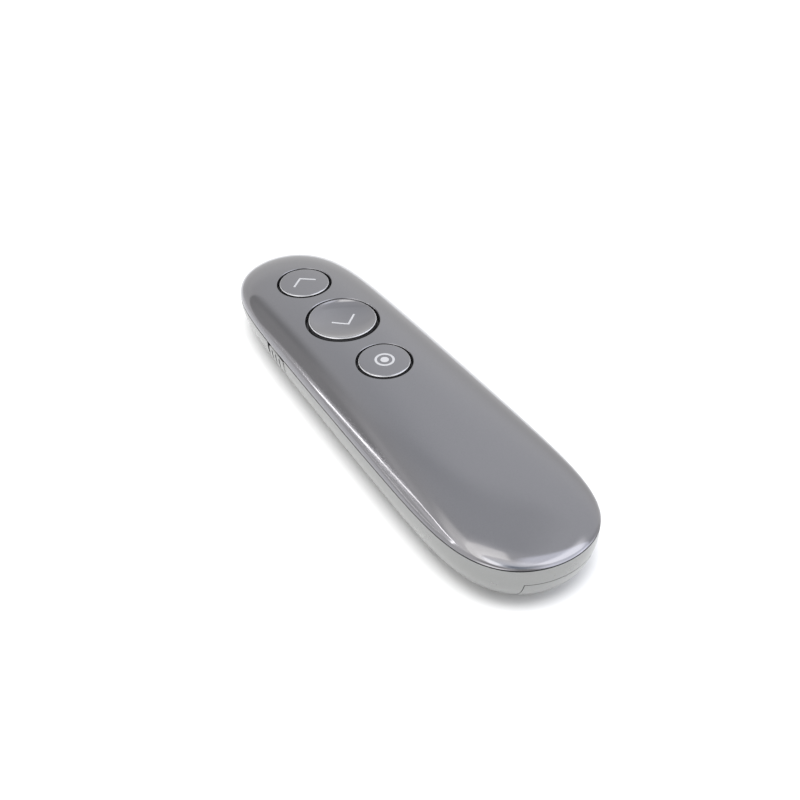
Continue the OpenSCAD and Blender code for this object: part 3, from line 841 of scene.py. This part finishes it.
def printed(name, outlines, height, holes=()):
    """A thin mark printed on a button: closed outlines in the plan, laid on the button's surface."""
    verts, faces = [], []
    for outline, inner in outlines:
        outline = np.array(outline, float)
        loops = [outline] + [np.array(h, float) for h in inner]
        dense = []
        for lp in loops:
            out = []
            for p, q in zip(lp, np.roll(lp, -1, axis=0)):
                k = max(1, int(math.ceil(np.linalg.norm(q - p) / 0.25)))
                out += [p + (q - p) * i / k for i in range(k)]
            dense.append(np.array(out))
        pts = np.concatenate(dense)
        edges, s = [], 0
        for lp in dense:
            edges += [(s + i, s + (i + 1) % len(lp)) for i in range(len(lp))]
            s += len(lp)
        lo, hi = pts.min(0), pts.max(0)
        gx, gy = np.meshgrid(np.arange(lo[0], hi[0], 0.2), np.arange(lo[1], hi[1], 0.2))
        p = np.stack([gx.ravel(), gy.ravel()], 1)
        keep = inside(p, dense[0])
        for h in dense[1:]:
            keep &= ~inside(p, h)
        near = np.array([((pts - q) ** 2).sum(1).min() > 0.1**2 for q in p])
        p = p[keep & near]
        allp = np.concatenate([pts, p]) if len(p) else pts
        _, _, tri, origin, _, _ = geometry.delaunay_2d_cdt([Vector(map(float, q)) for q in allp], edges, [], 0, 1e-7)
        back = [o[0] if o else -1 for o in origin]
        tri = np.array([[back[i] for i in q] for q in tri])
        tri = tri[(tri >= 0).all(1)]
        mid = allp[tri].mean(1)
        good = inside(mid, dense[0])
        for h in dense[1:]:
            good &= ~inside(mid, h)
        tri = tri[good]
        a, b, c = allp[tri[:, 0]], allp[tri[:, 1]], allp[tri[:, 2]]
        area = (b[:, 0] - a[:, 0]) * (c[:, 1] - a[:, 1]) - (b[:, 1] - a[:, 1]) * (c[:, 0] - a[:, 0])
        tri = np.where((area < 0)[:, None], tri[:, ::-1], tri)
        z = height(allp[:, 0], allp[:, 1])
        m, base = len(allp), len(verts)
        verts += [(x, y, h + 0.018) for (x, y), h in zip(allp, z)]
        verts += [(x, y, h - 0.03) for (x, y), h in zip(allp, z)]
        faces += [tuple(int(i) + base for i in q) for q in tri]
        faces += [tuple(int(i) + base + m for i in q[::-1]) for q in tri]
        s = 0
        for k, lp in enumerate(dense):
            ccw = signed_area(lp) > 0
            out_side = ccw if k == 0 else not ccw
            for i in range(len(lp)):
                p0, p1 = base + s + i, base + s + (i + 1) % len(lp)
                q = (p0, p0 + m, p1 + m, p1) if out_side else (p0, p1, p1 + m, p0 + m)
                faces.append(q)
            s += len(lp)
    return build(name, verts, faces, angle=40)


def signed_area(p):
    x, y = p[:, 0], p[:, 1]
    return 0.5 * float((x * np.roll(y, -1) - np.roll(x, -1) * y).sum())


def chevron(apex_y, dx, dy, w, x0=0.0):
    """Two arms of stroke w from the apex at (x0, apex_y) to (x0 +- dx, apex_y + dy), square at their ends."""
    length = math.hypot(dx, dy)
    ux, uy = dx / length, dy / length
    px, py = -uy * w / 2, ux * w / 2  # across the right arm
    # outer and inner apex points by where the two edges meet on the centre line
    up = apex_y + (w / 2) / ux
    lowp = apex_y - (w / 2) / ux
    right = [(dx + px, apex_y + dy + py), (dx - px, apex_y + dy - py)]
    left = [(-x, y) for x, y in right]
    pts = [(0, up), left[0], left[1], (0, lowp), right[1], right[0]]
    return [(x0 + x, y) for x, y in pts]


def circle(cx, cy, r, n=72):
    return [(cx + r * math.cos(t), cy + r * math.sin(t)) for t in angles(n)]


# ---------------------------------------------------------------- materials


def material(name):
    m = bpy.data.materials.new(name)
    m.use_nodes = True
    nt = m.node_tree
    for n in list(nt.nodes):
        nt.nodes.remove(n)
    out = nt.nodes.new("ShaderNodeOutputMaterial")
    bsdf = nt.nodes.new("ShaderNodeBsdfPrincipled")
    nt.links.new(bsdf.outputs[0], out.inputs[0])
    return m, nt, bsdf


def coords(nt, scale=(1, 1, 1)):
    tc = nt.nodes.new("ShaderNodeTexCoord")
    mp = nt.nodes.new("ShaderNodeMapping")
    mp.inputs["Scale"].default_value = scale
    nt.links.new(tc.outputs["Object"], mp.inputs["Vector"])
    return mp.outputs[0]


def noise(nt, vec, scale, detail=2.0, rough=0.5):
    n = nt.nodes.new("ShaderNodeTexNoise")
    n.inputs["Scale"].default_value = scale
    n.inputs["Detail"].default_value = detail
    n.inputs["Roughness"].default_value = rough
    nt.links.new(vec, n.inputs["Vector"])
    return n.outputs[0]


def ramp(nt, fac, stops):
    r = nt.nodes.new("ShaderNodeValToRGB")
    el = r.color_ramp.elements
    while len(el) < len(stops):
        el.new(0.5)
    for e, (pos, col) in zip(el, stops):
        e.position = pos
        e.color = (*col, 1) if len(col) == 3 else col
    nt.links.new(fac, r.inputs[0])
    return r.outputs[0]


def to_range(nt, fac, lo, hi, a=0.0, b=1.0):
    m = nt.nodes.new("ShaderNodeMapRange")
    m.inputs["From Min"].default_value = a
    m.inputs["From Max"].default_value = b
    m.inputs["To Min"].default_value = lo
    m.inputs["To Max"].default_value = hi
    nt.links.new(fac, m.inputs["Value"])
    return m.outputs[0]


def bump(nt, bsdf, height, strength, distance):
    b = nt.nodes.new("ShaderNodeBump")
    b.inputs["Strength"].default_value = strength
    b.inputs["Distance"].default_value = distance
    nt.links.new(height, b.inputs["Height"])
    nt.links.new(b.outputs[0], bsdf.inputs["Normal"])
    return b


def lacquer(name, colour, metallic, rough, coat, coat_rough=0.04, flake=0.06, peel=0.03):
    """Metallic paint: fine flakes of slightly different brightness under a coat, with a faint orange peel."""
    m, nt, b = material(name)
    v = coords(nt)
    vor = nt.nodes.new("ShaderNodeTexVoronoi")
    vor.inputs["Scale"].default_value = 9000
    nt.links.new(v, vor.inputs["Vector"])
    sep = nt.nodes.new("ShaderNodeSeparateColor")
    nt.links.new(vor.outputs["Color"], sep.inputs[0])
    lo = tuple(c * (1 - flake) for c in colour)
    hi = tuple(min(1, c * (1 + flake)) for c in colour)
    c = ramp(nt, sep.outputs[0], [(0.0, lo), (1.0, hi)])
    nt.links.new(c, b.inputs["Base Color"])
    smear = noise(nt, v, 90, 3, 0.6)
    nt.links.new(to_range(nt, smear, rough - 0.03, rough + 0.03, 0.3, 0.7), b.inputs["Roughness"])
    b.inputs["Metallic"].default_value = metallic
    b.inputs["IOR"].default_value = 1.5
    b.inputs["Coat Weight"].default_value = coat
    b.inputs["Coat Roughness"].default_value = coat_rough
    b.inputs["Coat IOR"].default_value = 1.5
    bump(nt, b, noise(nt, v, 700, 2, 0.5), peel, 0.00002)
    return m


def plastic(name, colour, rough, grain=3500, depth=0.25, vary=0.08, spec=0.5, coat=0.0):
    """Moulded plastic with a fine spark-eroded grain and slightly uneven tone."""
    m, nt, b = material(name)
    v = coords(nt)
    tone = noise(nt, v, 60, 4, 0.6)
    lo = tuple(c * (1 - vary) for c in colour)
    hi = tuple(min(1, c * (1 + vary)) for c in colour)
    nt.links.new(ramp(nt, tone, [(0.3, lo), (0.7, hi)]), b.inputs["Base Color"])
    g = noise(nt, v, grain, 2, 0.5)
    nt.links.new(to_range(nt, g, rough - 0.06, rough + 0.06, 0.3, 0.7), b.inputs["Roughness"])
    b.inputs["Specular IOR Level"].default_value = spec
    b.inputs["Coat Weight"].default_value = coat
    bump(nt, b, g, depth, 0.00003)
    return m


def metal(name, colour, rough, streak=(1, 1, 1), scale=600, vary=0.1, depth=0.08):
    """Bare or plated metal with fine streaks along its working direction."""
    m, nt, b = material(name)
    v = coords(nt, streak)
    g = noise(nt, v, scale, 4, 0.6)
    lo = tuple(c * (1 - vary) for c in colour)
    hi = tuple(min(1, c * (1 + vary)) for c in colour)
    nt.links.new(ramp(nt, g, [(0.3, lo), (0.7, hi)]), b.inputs["Base Color"])
    nt.links.new(to_range(nt, g, max(0.05, rough - 0.08), rough + 0.08, 0.3, 0.7), b.inputs["Roughness"])
    b.inputs["Metallic"].default_value = 1.0
    bump(nt, b, g, depth, 0.00002)
    return m


def board_paint(name):
    """Green solder mask over copper: tracks and pads show as a slightly lighter green."""
    m, nt, b = material(name)
    v = coords(nt)
    w = nt.nodes.new("ShaderNodeTexBrick")
    w.inputs["Scale"].default_value = 420
    w.inputs["Color1"].default_value = (0.012, 0.11, 0.05, 1)
    w.inputs["Color2"].default_value = (0.014, 0.13, 0.06, 1)
    w.inputs["Mortar"].default_value = (0.02, 0.2, 0.09, 1)
    w.inputs["Mortar Size"].default_value = 0.035
    w.inputs["Brick Width"].default_value = 1.7
    w.inputs["Row Height"].default_value = 0.5
    nt.links.new(v, w.inputs["Vector"])
    nt.links.new(w.outputs["Color"], b.inputs["Base Color"])
    g = noise(nt, v, 2500, 2, 0.5)
    nt.links.new(to_range(nt, g, 0.28, 0.42, 0.3, 0.7), b.inputs["Roughness"])
    b.inputs["Coat Weight"].default_value = 0.5
    b.inputs["Coat Roughness"].default_value = 0.15
    bump(nt, b, w.outputs["Fac"], 0.15, 0.00002)
    return m


def tinted(name, colour, rough, transmission):
    m, nt, b = material(name)
    v = coords(nt)
    g = noise(nt, v, 300, 2, 0.5)
    lo = tuple(c * 0.92 for c in colour)
    nt.links.new(ramp(nt, g, [(0.3, lo), (0.7, colour)]), b.inputs["Base Color"])
    nt.links.new(to_range(nt, g, rough, rough + 0.03, 0.3, 0.7), b.inputs["Roughness"])
    b.inputs["Transmission Weight"].default_value = transmission
    b.inputs["IOR"].default_value = 1.49
    return m


def sleeve(name):
    """A cell's printed sleeve: dark body and a lighter band at its positive end, no markings."""
    m, nt, b = material(name)
    tc = nt.nodes.new("ShaderNodeTexCoord")
    sep = nt.nodes.new("ShaderNodeSeparateXYZ")
    nt.links.new(tc.outputs["Object"], sep.inputs[0])
    pos = to_range(nt, sep.outputs[1], 0, 1, -0.0502, -0.0057)
    body, band, can = (0.035, 0.038, 0.045), (0.62, 0.30, 0.10), (0.72, 0.72, 0.72)
    r = nt.nodes.new("ShaderNodeValToRGB")
    r.color_ramp.interpolation = "CONSTANT"
    stops = [(0.0, can), (0.022, body), (0.7, band), (0.952, can)]
    el = r.color_ramp.elements
    while len(el) < len(stops):
        el.new(0.5)
    for e, (p, c) in zip(el, stops):
        e.position, e.color = p, (*c, 1)
    nt.links.new(pos, r.inputs[0])
    nt.links.new(r.outputs[0], b.inputs["Base Color"])
    q = nt.nodes.new("ShaderNodeValToRGB")
    q.color_ramp.interpolation = "CONSTANT"
    stops = [(0.0, (1, 1, 1)), (0.022, (0.0, 0.0, 0.0)), (0.7, (0.8, 0.8, 0.8)), (0.952, (1, 1, 1))]
    el = q.color_ramp.elements
    while len(el) < len(stops):
        el.new(0.5)
    for e, (p, c) in zip(el, stops):
        e.position, e.color = p, (*c, 1)
    nt.links.new(pos, q.inputs[0])
    nt.links.new(q.outputs[0], b.inputs["Metallic"])
    g = noise(nt, coords(nt), 500, 3, 0.5)
    nt.links.new(to_range(nt, g, 0.26, 0.36, 0.3, 0.7), b.inputs["Roughness"])
    bump(nt, b, g, 0.04, 0.00002)
    return m


TOP = lacquer("top_lacquer", (0.157, 0.1535, 0.164), 1.0, 0.1, 1.0, 0.02, 0.04, 0.004)
KEY = lacquer("key_lacquer", (0.164, 0.160, 0.171), 1.0, 0.1, 1.0, 0.02, 0.04, 0.004)
# a lighter lacquer for a band round each key's edge: a painted highlight
EDGE_HIGHLIGHT = lacquer("edge_highlight_paint", (0.34, 0.34, 0.35), 0.5, 0.3, 1.0, 0.1, 0.03, 0.005)
SILVER = lacquer("silver_lacquer", (0.23, 0.232, 0.226), 0.88, 0.3, 0.25, 0.15, 0.04, 0.01)
INK = plastic("printed_ink", (0.25, 0.25, 0.26), 0.45, 6000, 0.05, 0.03)
# dark bare moulded plastic for the inner faces; on the keys' walls and in the slider's grooves it is a painted shade
BARE_AND_SHADE = plastic("bare_plastic_and_shade", (0.028, 0.028, 0.03), 0.5, 3500, 0.15)
BLACK = plastic("frame_plastic", (0.022, 0.022, 0.024), 0.5)
SWITCH = plastic("switch_plastic", (0.016, 0.016, 0.017), 0.42, 5000, 0.15)
IVORY = plastic("plunger_plastic", (0.62, 0.58, 0.48), 0.4, 4000, 0.1)
CHIP = plastic("chip_package", (0.02, 0.02, 0.021), 0.55, 6000, 0.3)
CERAMIC = plastic("capacitor_ceramic", (0.36, 0.25, 0.14), 0.5, 5000, 0.2)
RECEIVER = plastic("receiver_plastic", (0.018, 0.018, 0.019), 0.4, 4500, 0.2)
STEEL = metal("nickel_plate", (0.66, 0.65, 0.62), 0.28, (1, 8, 1), 900)
PLUG = metal("plug_plate", (0.70, 0.70, 0.70), 0.22, (8, 1, 8), 500)
SCREW = metal("zinc_plate", (0.52, 0.52, 0.51), 0.34, (1, 1, 1), 2500, 0.15, 0.15)
BRASS = metal("turned_brass", (0.68, 0.50, 0.22), 0.25, (1, 14, 1), 500)
GOLD = metal("diode_plate", (0.78, 0.62, 0.32), 0.25, (1, 1, 1), 1500)
PCB = board_paint("solder_mask")
LENS = tinted("lens_glass", (0.85, 0.92, 0.95), 0.02, 0.9)
WINDOW = tinted("laser_window", (0.06, 0.004, 0.006), 0.04, 0.35)
CELL = sleeve("cell_sleeve")

for names, mat in (
    (("top_shell",), TOP),
    (("previous_button", "next_button", "laser_button"), KEY),
    (("bottom_shell", "battery_door", "power_slider"), SILVER),
    (("inner_frame",), BLACK),
    (("circuit_board",), PCB),
    (("previous_switch_body", "next_switch_body", "laser_switch_body", "slide_switch_lever", "receiver_tongue"), SWITCH),
    (("previous_switch_plunger", "next_switch_plunger", "laser_switch_plunger"), IVORY),
    (("slide_switch_body", "crystal", "battery_spring", "negative_plate", "positive_plate"), STEEL),
    (("radio_chip",), CHIP),
    (("board_capacitors",), CERAMIC),
    (("laser_barrel",), BRASS),
    (("laser_diode",), GOLD),
    (("laser_lens",), LENS),
    (("nose_window",), WINDOW),
    (("battery",), CELL),
    (("receiver_cap",), RECEIVER),
    (("receiver_plug",), PLUG),
    (("case_screws", "board_screws", "frame_screws"), SCREW),
):
    for nm in names:
        node = frame["nodes"][nm]
        node.data.materials.clear()
        node.data.materials.append(mat)


# ---------------------------------------------------------------- making the pieces


def piece(name, me, mat, body, replaces=None):
    o = obj(name, me)
    o.data.materials.clear()
    o.data.materials.append(mat)
    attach(o, body)
    if replaces:
        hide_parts(replaces)
    return o


def bare_inside(o, height, normal, also_painted=None):
    """The paint is on the outside: every face that isn't on the outer surface is bare moulded plastic."""
    me = o.data
    me.materials.append(BARE_AND_SHADE)
    co = np.zeros(len(me.vertices) * 3, np.float32)
    me.vertices.foreach_get("co", co)
    co = co.reshape(-1, 3).astype(float) / MM
    loops = np.zeros(len(me.loops), np.int32)
    me.loops.foreach_get("vertex_index", loops)
    start = np.zeros(len(me.polygons), np.int32)
    me.polygons.foreach_get("loop_start", start)
    off = np.abs((co[:, 2] - height(co[:, 0], co[:, 1])) * normal(co[:, 0], co[:, 1])[:, 2])
    painted = np.maximum.reduceat(off[loops], start) < 0.12
    if also_painted is not None:
        painted |= np.minimum.reduceat(also_painted(co)[loops].astype(int), start) > 0
    me.polygons.foreach_set("material_index", np.where(painted, 0, 1).astype(np.int32))
    me.update()


def on_rims(co):
    """The bevels of the button holes, which are painted too."""
    out = np.zeros(len(co), bool)
    for y0, r, _, _, _ in BUTTONS.values():
        q = np.hypot(co[:, 0], co[:, 1] - y0)
        out |= (q > r - 0.01) & (q < r + 0.6) & (co[:, 2] > z_top(co[:, 0], co[:, 1]) - 0.62)
    return out


def on_grip(co):
    """The thumb grooves of the battery door."""
    return (np.abs(co[:, 0]) < 4.6) & (np.abs(co[:, 1] + 37.4) < 4.4) & (co[:, 2] < 0.5)


top_mesh, _ = make_top_shell()
on_surfaces(top_mesh, [(z_top, n_top, (0, 0, 0))])
rim_normals(top_mesh)
o = piece("top_shell_skin", top_mesh, TOP, "casing", "top_shell")
bare_inside(o, z_top, n_top, on_rims)

skin, room = make_bottom_skin(), room_mesh(0.7)
bottom_mesh = make_bottom_shell(skin, room)
on_surfaces(bottom_mesh, [(z_bot, n_bot, (0, 0, 0))], 0.11)
o = piece("bottom_shell_skin", bottom_mesh, SILVER, "casing", "bottom_shell")
bare_inside(o, z_bot, n_bot)

door_mesh = make_door(skin)
on_surfaces(door_mesh, [(z_bot, n_bot, (0, 0, 0))], 0.11)
o = piece("battery_door_skin", door_mesh, SILVER, "door", "battery_door")
bare_inside(o, z_bot, n_bot, on_grip)

slider_mesh = make_slider()
on_surfaces(slider_mesh, [(z_bot, n_bot, (-0.12, 0, 0))], 0.06)
o = piece("power_slider_knob", slider_mesh, SILVER, "slider", "power_slider")
o.data.materials.append(BARE_AND_SHADE)
for p in o.data.polygons:  # the grooves take the dark bare plastic, a painted shade in them
    c = sum((o.data.vertices[i].co for i in p.vertices), Vector()) / len(p.vertices) / MM
    side = [abs(c.y - (KNOB_Y + GRIP[0] + GRIP[1] * k)) for k in range(3)]
    if min(side) < GRIP[2] + 0.02 and 8.1 < c.z < 10.6 and side_x(c.y, c.z) - 0.09 < c.x < -13:
        p.material_index = 1


def paint_key(me, name):
    """Paint on the face, a lighter band round its edge that is a painted highlight, and dark bare plastic on the wall
    and below, which on the wall is a painted shade in the gap round the key.
    """
    y0, hole, gap, _, dish = BUTTONS[name]
    r, height, width = hole - gap, button_height(name), 0.42 if dish else 0.36
    index = np.zeros(len(me.polygons), np.int32)
    for p in me.polygons:
        c = sum((me.vertices[i].co for i in p.vertices), Vector()) / len(p.vertices) / MM
        q = math.hypot(c.x, c.y - y0)
        drop = float(height(np.array([c.x]), np.array([c.y]))[0]) - c.z
        # the wall and the flange below are dark bare plastic; on the wall it is a painted shade in the gap round the
        # key
        if drop > 0.65 or q > r + 0.01:
            index[p.index] = 1
        # a lighter band just inside the edge: a painted highlight on the rounded edge
        elif r - 0.46 * width < q < r - 0.12 * width:
            index[p.index] = 2
    me.polygons.foreach_set("material_index", index)
    me.update()


for name, body in (("previous_button", "previous_key"), ("next_button", "next_key"), ("laser_button", "laser_key")):
    o = piece(name + "_cap", make_button(name), KEY, body, name)
    o.data.materials.append(BARE_AND_SHADE)
    o.data.materials.append(EDGE_HIGHLIGHT)
    paint_key(o.data, name)

STROKE = 0.46
piece(
    "previous_mark",
    printed("previous_mark", [(chevron(45.0, 2.8, -2.3, STROKE, -0.15), [])], button_height("previous_button")),
    INK, "previous_key",
)
piece(
    "next_mark",
    printed("next_mark", [(chevron(24.15, 2.85, 2.45, STROKE, 0.55), [])], button_height("next_button")),
    INK, "next_key",
)
piece(
    "laser_mark",
    printed(
        "laser_mark",
        [(circle(0.05, 7.8, 2.2), [circle(0.05, 7.8, 1.68)]), (circle(0.05, 7.8, 0.92, 48), [])],
        button_height("laser_button"),
    ),
    INK, "laser_key",
)

# ---------------------------------------------------------------- floor, light and camera


def direction(az, el):
    a, e = math.radians(az), math.radians(el)
    return Vector((math.sin(a) * math.cos(e), math.cos(a) * math.cos(e), math.sin(e)))


def panel(name, centre, along, width, height, radiance, colour=(1, 1, 1), target=(0, 0, 0)):
    """A soft box: a rectangle of light that faces the target, its width running along a given direction."""
    d = bpy.data.lights.new(name, "AREA")
    d.shape = "RECTANGLE"
    d.size, d.size_y = width, height
    d.energy = radiance * math.pi * width * height
    d.color = colour
    o = bpy.data.objects.new(name, d)
    scene.collection.objects.link(o)
    centre = Vector(centre)
    back = (centre - Vector(target)).normalized()
    x = Vector(along) - back * Vector(along).dot(back)
    x.normalize()
    y = back.cross(x)
    m = Matrix((x, y, back)).transposed().to_4x4()
    m.translation = centre
    o.matrix_world = m
    o.visible_camera = False
    return o


def strip(name, a, b, width, radiance, colour=(1, 1, 1), distance=3.0):
    """A narrow light between two directions, each given as (azimuth, elevation)."""
    p, q = direction(*a) * distance, direction(*b) * distance
    return panel(name, (p + q) / 2, q - p, (q - p).length, width, radiance, colour)


BLUE, WARM, PLAIN = (0.93, 0.97, 1.12), (1, 0.99, 0.93), (1, 1, 1)
WALL = 1.4  # radiance of the studio's walls
PATCHES = (  # azimuths, elevations, softness across and up, amount and colour of the walls' lighter and darker places
    (-98, 24, 70, 84, 14, 4, 1.0, PLAIN),
    (-74, -14, 71.5, 82, 10, 2, 1.9, PLAIN),
    (-60, 34, 64, 71, 2, 0.8, 1.5, WARM),
    (-56, 2, 56.5, 65, 6, 2.5, 0.75, WARM),
    (65, 90, 51, 73, 4, 3, 1.3, PLAIN),
    (130, 172, 44, 68, 8, 5, 0.45, BLUE),
    (-8, 30, 24, 50, 10, 5, -0.22, PLAIN),
    (82, 104, -20, 50, 6, 6, -0.25, PLAIN),
    (-120, -78, 48, 72, 8, 5, -0.6, PLAIN),
    (102, 134, 0, 46, 8, 10, 1.2, BLUE),
    (-130, -94, -20, 50, 10, 9, 1.6, PLAIN),
    (-134, -60, -20, 60, 12, 12, 0.3, PLAIN),
    (-12, 48, 48, 62, 8, 2, -0.2, PLAIN),
    (-20, 66, -60, 24, 12, 10, -0.3, PLAIN),
    (-58, -33, 36, 58, 4, 4, 0.5, PLAIN),
    (24, 75, 71, 84, 10, 3, 0.9, PLAIN),
)

floor_mesh = box_mesh("floor", -9000, 9000, -9000, 9000, -50, 0)
floor = obj("floor", floor_mesh)
fm, fnt, fb = material("floor_card")
fb.inputs["Base Color"].default_value = (0.56, 0.56, 0.56, 1)
fb.inputs["Roughness"].default_value = 0.9
fb.inputs["Specular IOR Level"].default_value = 0.1
floor.data.materials.append(fm)

world = bpy.data.worlds.new("studio")
scene.world = world
world.use_nodes = True
wt = world.node_tree
bg = next(n for n in wt.nodes if n.type == "BACKGROUND")


def calc(op, a, b=None):
    """A Math node in the world's tree, on sockets or numbers."""
    n = wt.nodes.new("ShaderNodeMath")
    n.operation = op
    for i, q in enumerate((a, b)):
        if q is None:
            continue
        if isinstance(q, (int, float)):
            n.inputs[i].default_value = q
        else:
            wt.links.new(q, n.inputs[i])
    return n.outputs[0]


def fade(value, a, b):
    """0 at a, 1 at b, smooth between."""
    n = wt.nodes.new("ShaderNodeMapRange")
    n.interpolation_type = "SMOOTHSTEP"
    wt.links.new(value, n.inputs["Value"])
    n.inputs["From Min"].default_value = a
    n.inputs["From Max"].default_value = b
    if b < a:  # falling edge
        n.inputs["From Min"].default_value, n.inputs["From Max"].default_value = b, a
        n.inputs["To Min"].default_value, n.inputs["To Max"].default_value = 1, 0
    return n.outputs[0]


tc = wt.nodes.new("ShaderNodeTexCoord")
sp = wt.nodes.new("ShaderNodeSeparateXYZ")
wt.links.new(tc.outputs["Generated"], sp.inputs[0])
AZ = calc("MULTIPLY", calc("ARCTAN2", sp.outputs[0], sp.outputs[1]), 180 / math.pi)
EL = calc("MULTIPLY", calc("ARCSINE", sp.outputs[2]), 180 / math.pi)


def scaled(amount, colour):
    n = wt.nodes.new("ShaderNodeVectorMath")
    n.operation = "SCALE"
    n.inputs[0].default_value = colour
    wt.links.new(amount, n.inputs["Scale"])
    return n.outputs[0]


def plus(a, b):
    n = wt.nodes.new("ShaderNodeVectorMath")
    n.operation = "ADD"
    wt.links.new(a, n.inputs[0])
    wt.links.new(b, n.inputs[1])
    return n.outputs[0]


def times(*parts):
    out = parts[0]
    for q in parts[1:]:
        out = calc("MULTIPLY", out, q)
    return out


def patch(az0, az1, el0, el1, across, up_soft, amount):
    """A soft-edged rectangle of the studio's walls, in degrees."""
    return times(
        fade(AZ, az0 - across, az0 + across), fade(AZ, az1 + across, az1 - across),
        fade(EL, el0 - up_soft, el0 + up_soft), fade(EL, el1 + up_soft, el1 - up_soft), amount,
    )


light = scaled(calc("ADD", times(fade(EL, 78, 88), -0.55), WALL), (1, 1, 1))
for spec in PATCHES:
    light = plus(light, scaled(patch(*spec[:7]), spec[7]))
# the dark corner of the studio, seen in the nose, and the darker side behind the camera
slant = calc("SUBTRACT", EL, times(AZ, 0.65))
corner = times(fade(slant, 29.5, 31.5), fade(AZ, -37, -34), fade(AZ, 8, -8), fade(EL, 50, 39), -0.55)
# the wall at the right, lit from a slanting line upwards
rise = calc("ADD", EL, times(AZ, 0.45))
right_wall = times(fade(rise, 84, 86.5), fade(AZ, 35, 50), fade(AZ, 170, 156), fade(EL, 82, 68), 1.15)
light = plus(light, scaled(right_wall, BLUE))
back = times(fade(AZ, -136, -150), fade(EL, 84, 76), -0.5)
light = plus(light, scaled(calc("ADD", corner, back), (1, 1, 1)))
# bluer from above and from the right
tint = calc("ADD", times(fade(EL, 70, 84), 0.22), times(fade(EL, 10, 45), fade(AZ, -20, 30), fade(EL, 72, 60), 0.08))
light = plus(light, scaled(tint, (-0.5, -0.1, 0.5)))
top = wt.nodes.new("ShaderNodeVectorMath")
top.operation = "MAXIMUM"
top.inputs[1].default_value = (0.05, 0.05, 0.05)
wt.links.new(light, top.inputs[0])
wt.links.new(top.outputs[0], bg.inputs[0])
bg.inputs[1].default_value = 1.0

for i, (a, b, width, radiance) in enumerate((
    ((-41.3, 12), (-39.7, 26), 0.05, 8.5),
    ((-39.7, 26), (-35.2, 36.5), 0.045, 8.5),
    ((-35.2, 36.5), (-28.5, 47), 0.045, 8.0),
    ((-28.5, 47), (-29.5, 51), 0.05, 7.0),
    ((-29.5, 51), (-46, 54), 0.07, 7.0),
    ((-45, 54.5), (-60, 39), 0.06, 5.5),
    ((-47, 12), (-55, 33), 0.035, 4.5),
)):
    strip("strip_%d" % i, a, b, width, radiance)
key = panel("key", direction(-138, 70) * 3.0, (1, 0, 0), 1.4, 1.4, 17.5)
key.visible_glossy = False

cam_data = bpy.data.cameras.new("camera")
cam = bpy.data.objects.new("camera", cam_data)
scene.collection.objects.link(cam)
right = Vector((0.85299245, -0.52188945, 0.0059399))
up = Vector((0.33449388, 0.55537276, 0.76136387))
forward = Vector((0.40064663, 0.64745077, -0.6482976))
m = Matrix((right, up, -forward)).transposed().to_4x4()
m.translation = Vector((-160.5553, -258.1566, 270.2572)) * MM
cam.matrix_world = m
cam_data.sensor_width = 36
cam_data.lens = 1858.54 / 800 * 36
cam_data.clip_start, cam_data.clip_end = 0.01, 100
scene.camera = cam

scene.view_settings.view_transform = "Standard"
scene.view_settings.look = "None"
scene.view_settings.exposure = 0
scene.view_settings.gamma = 1
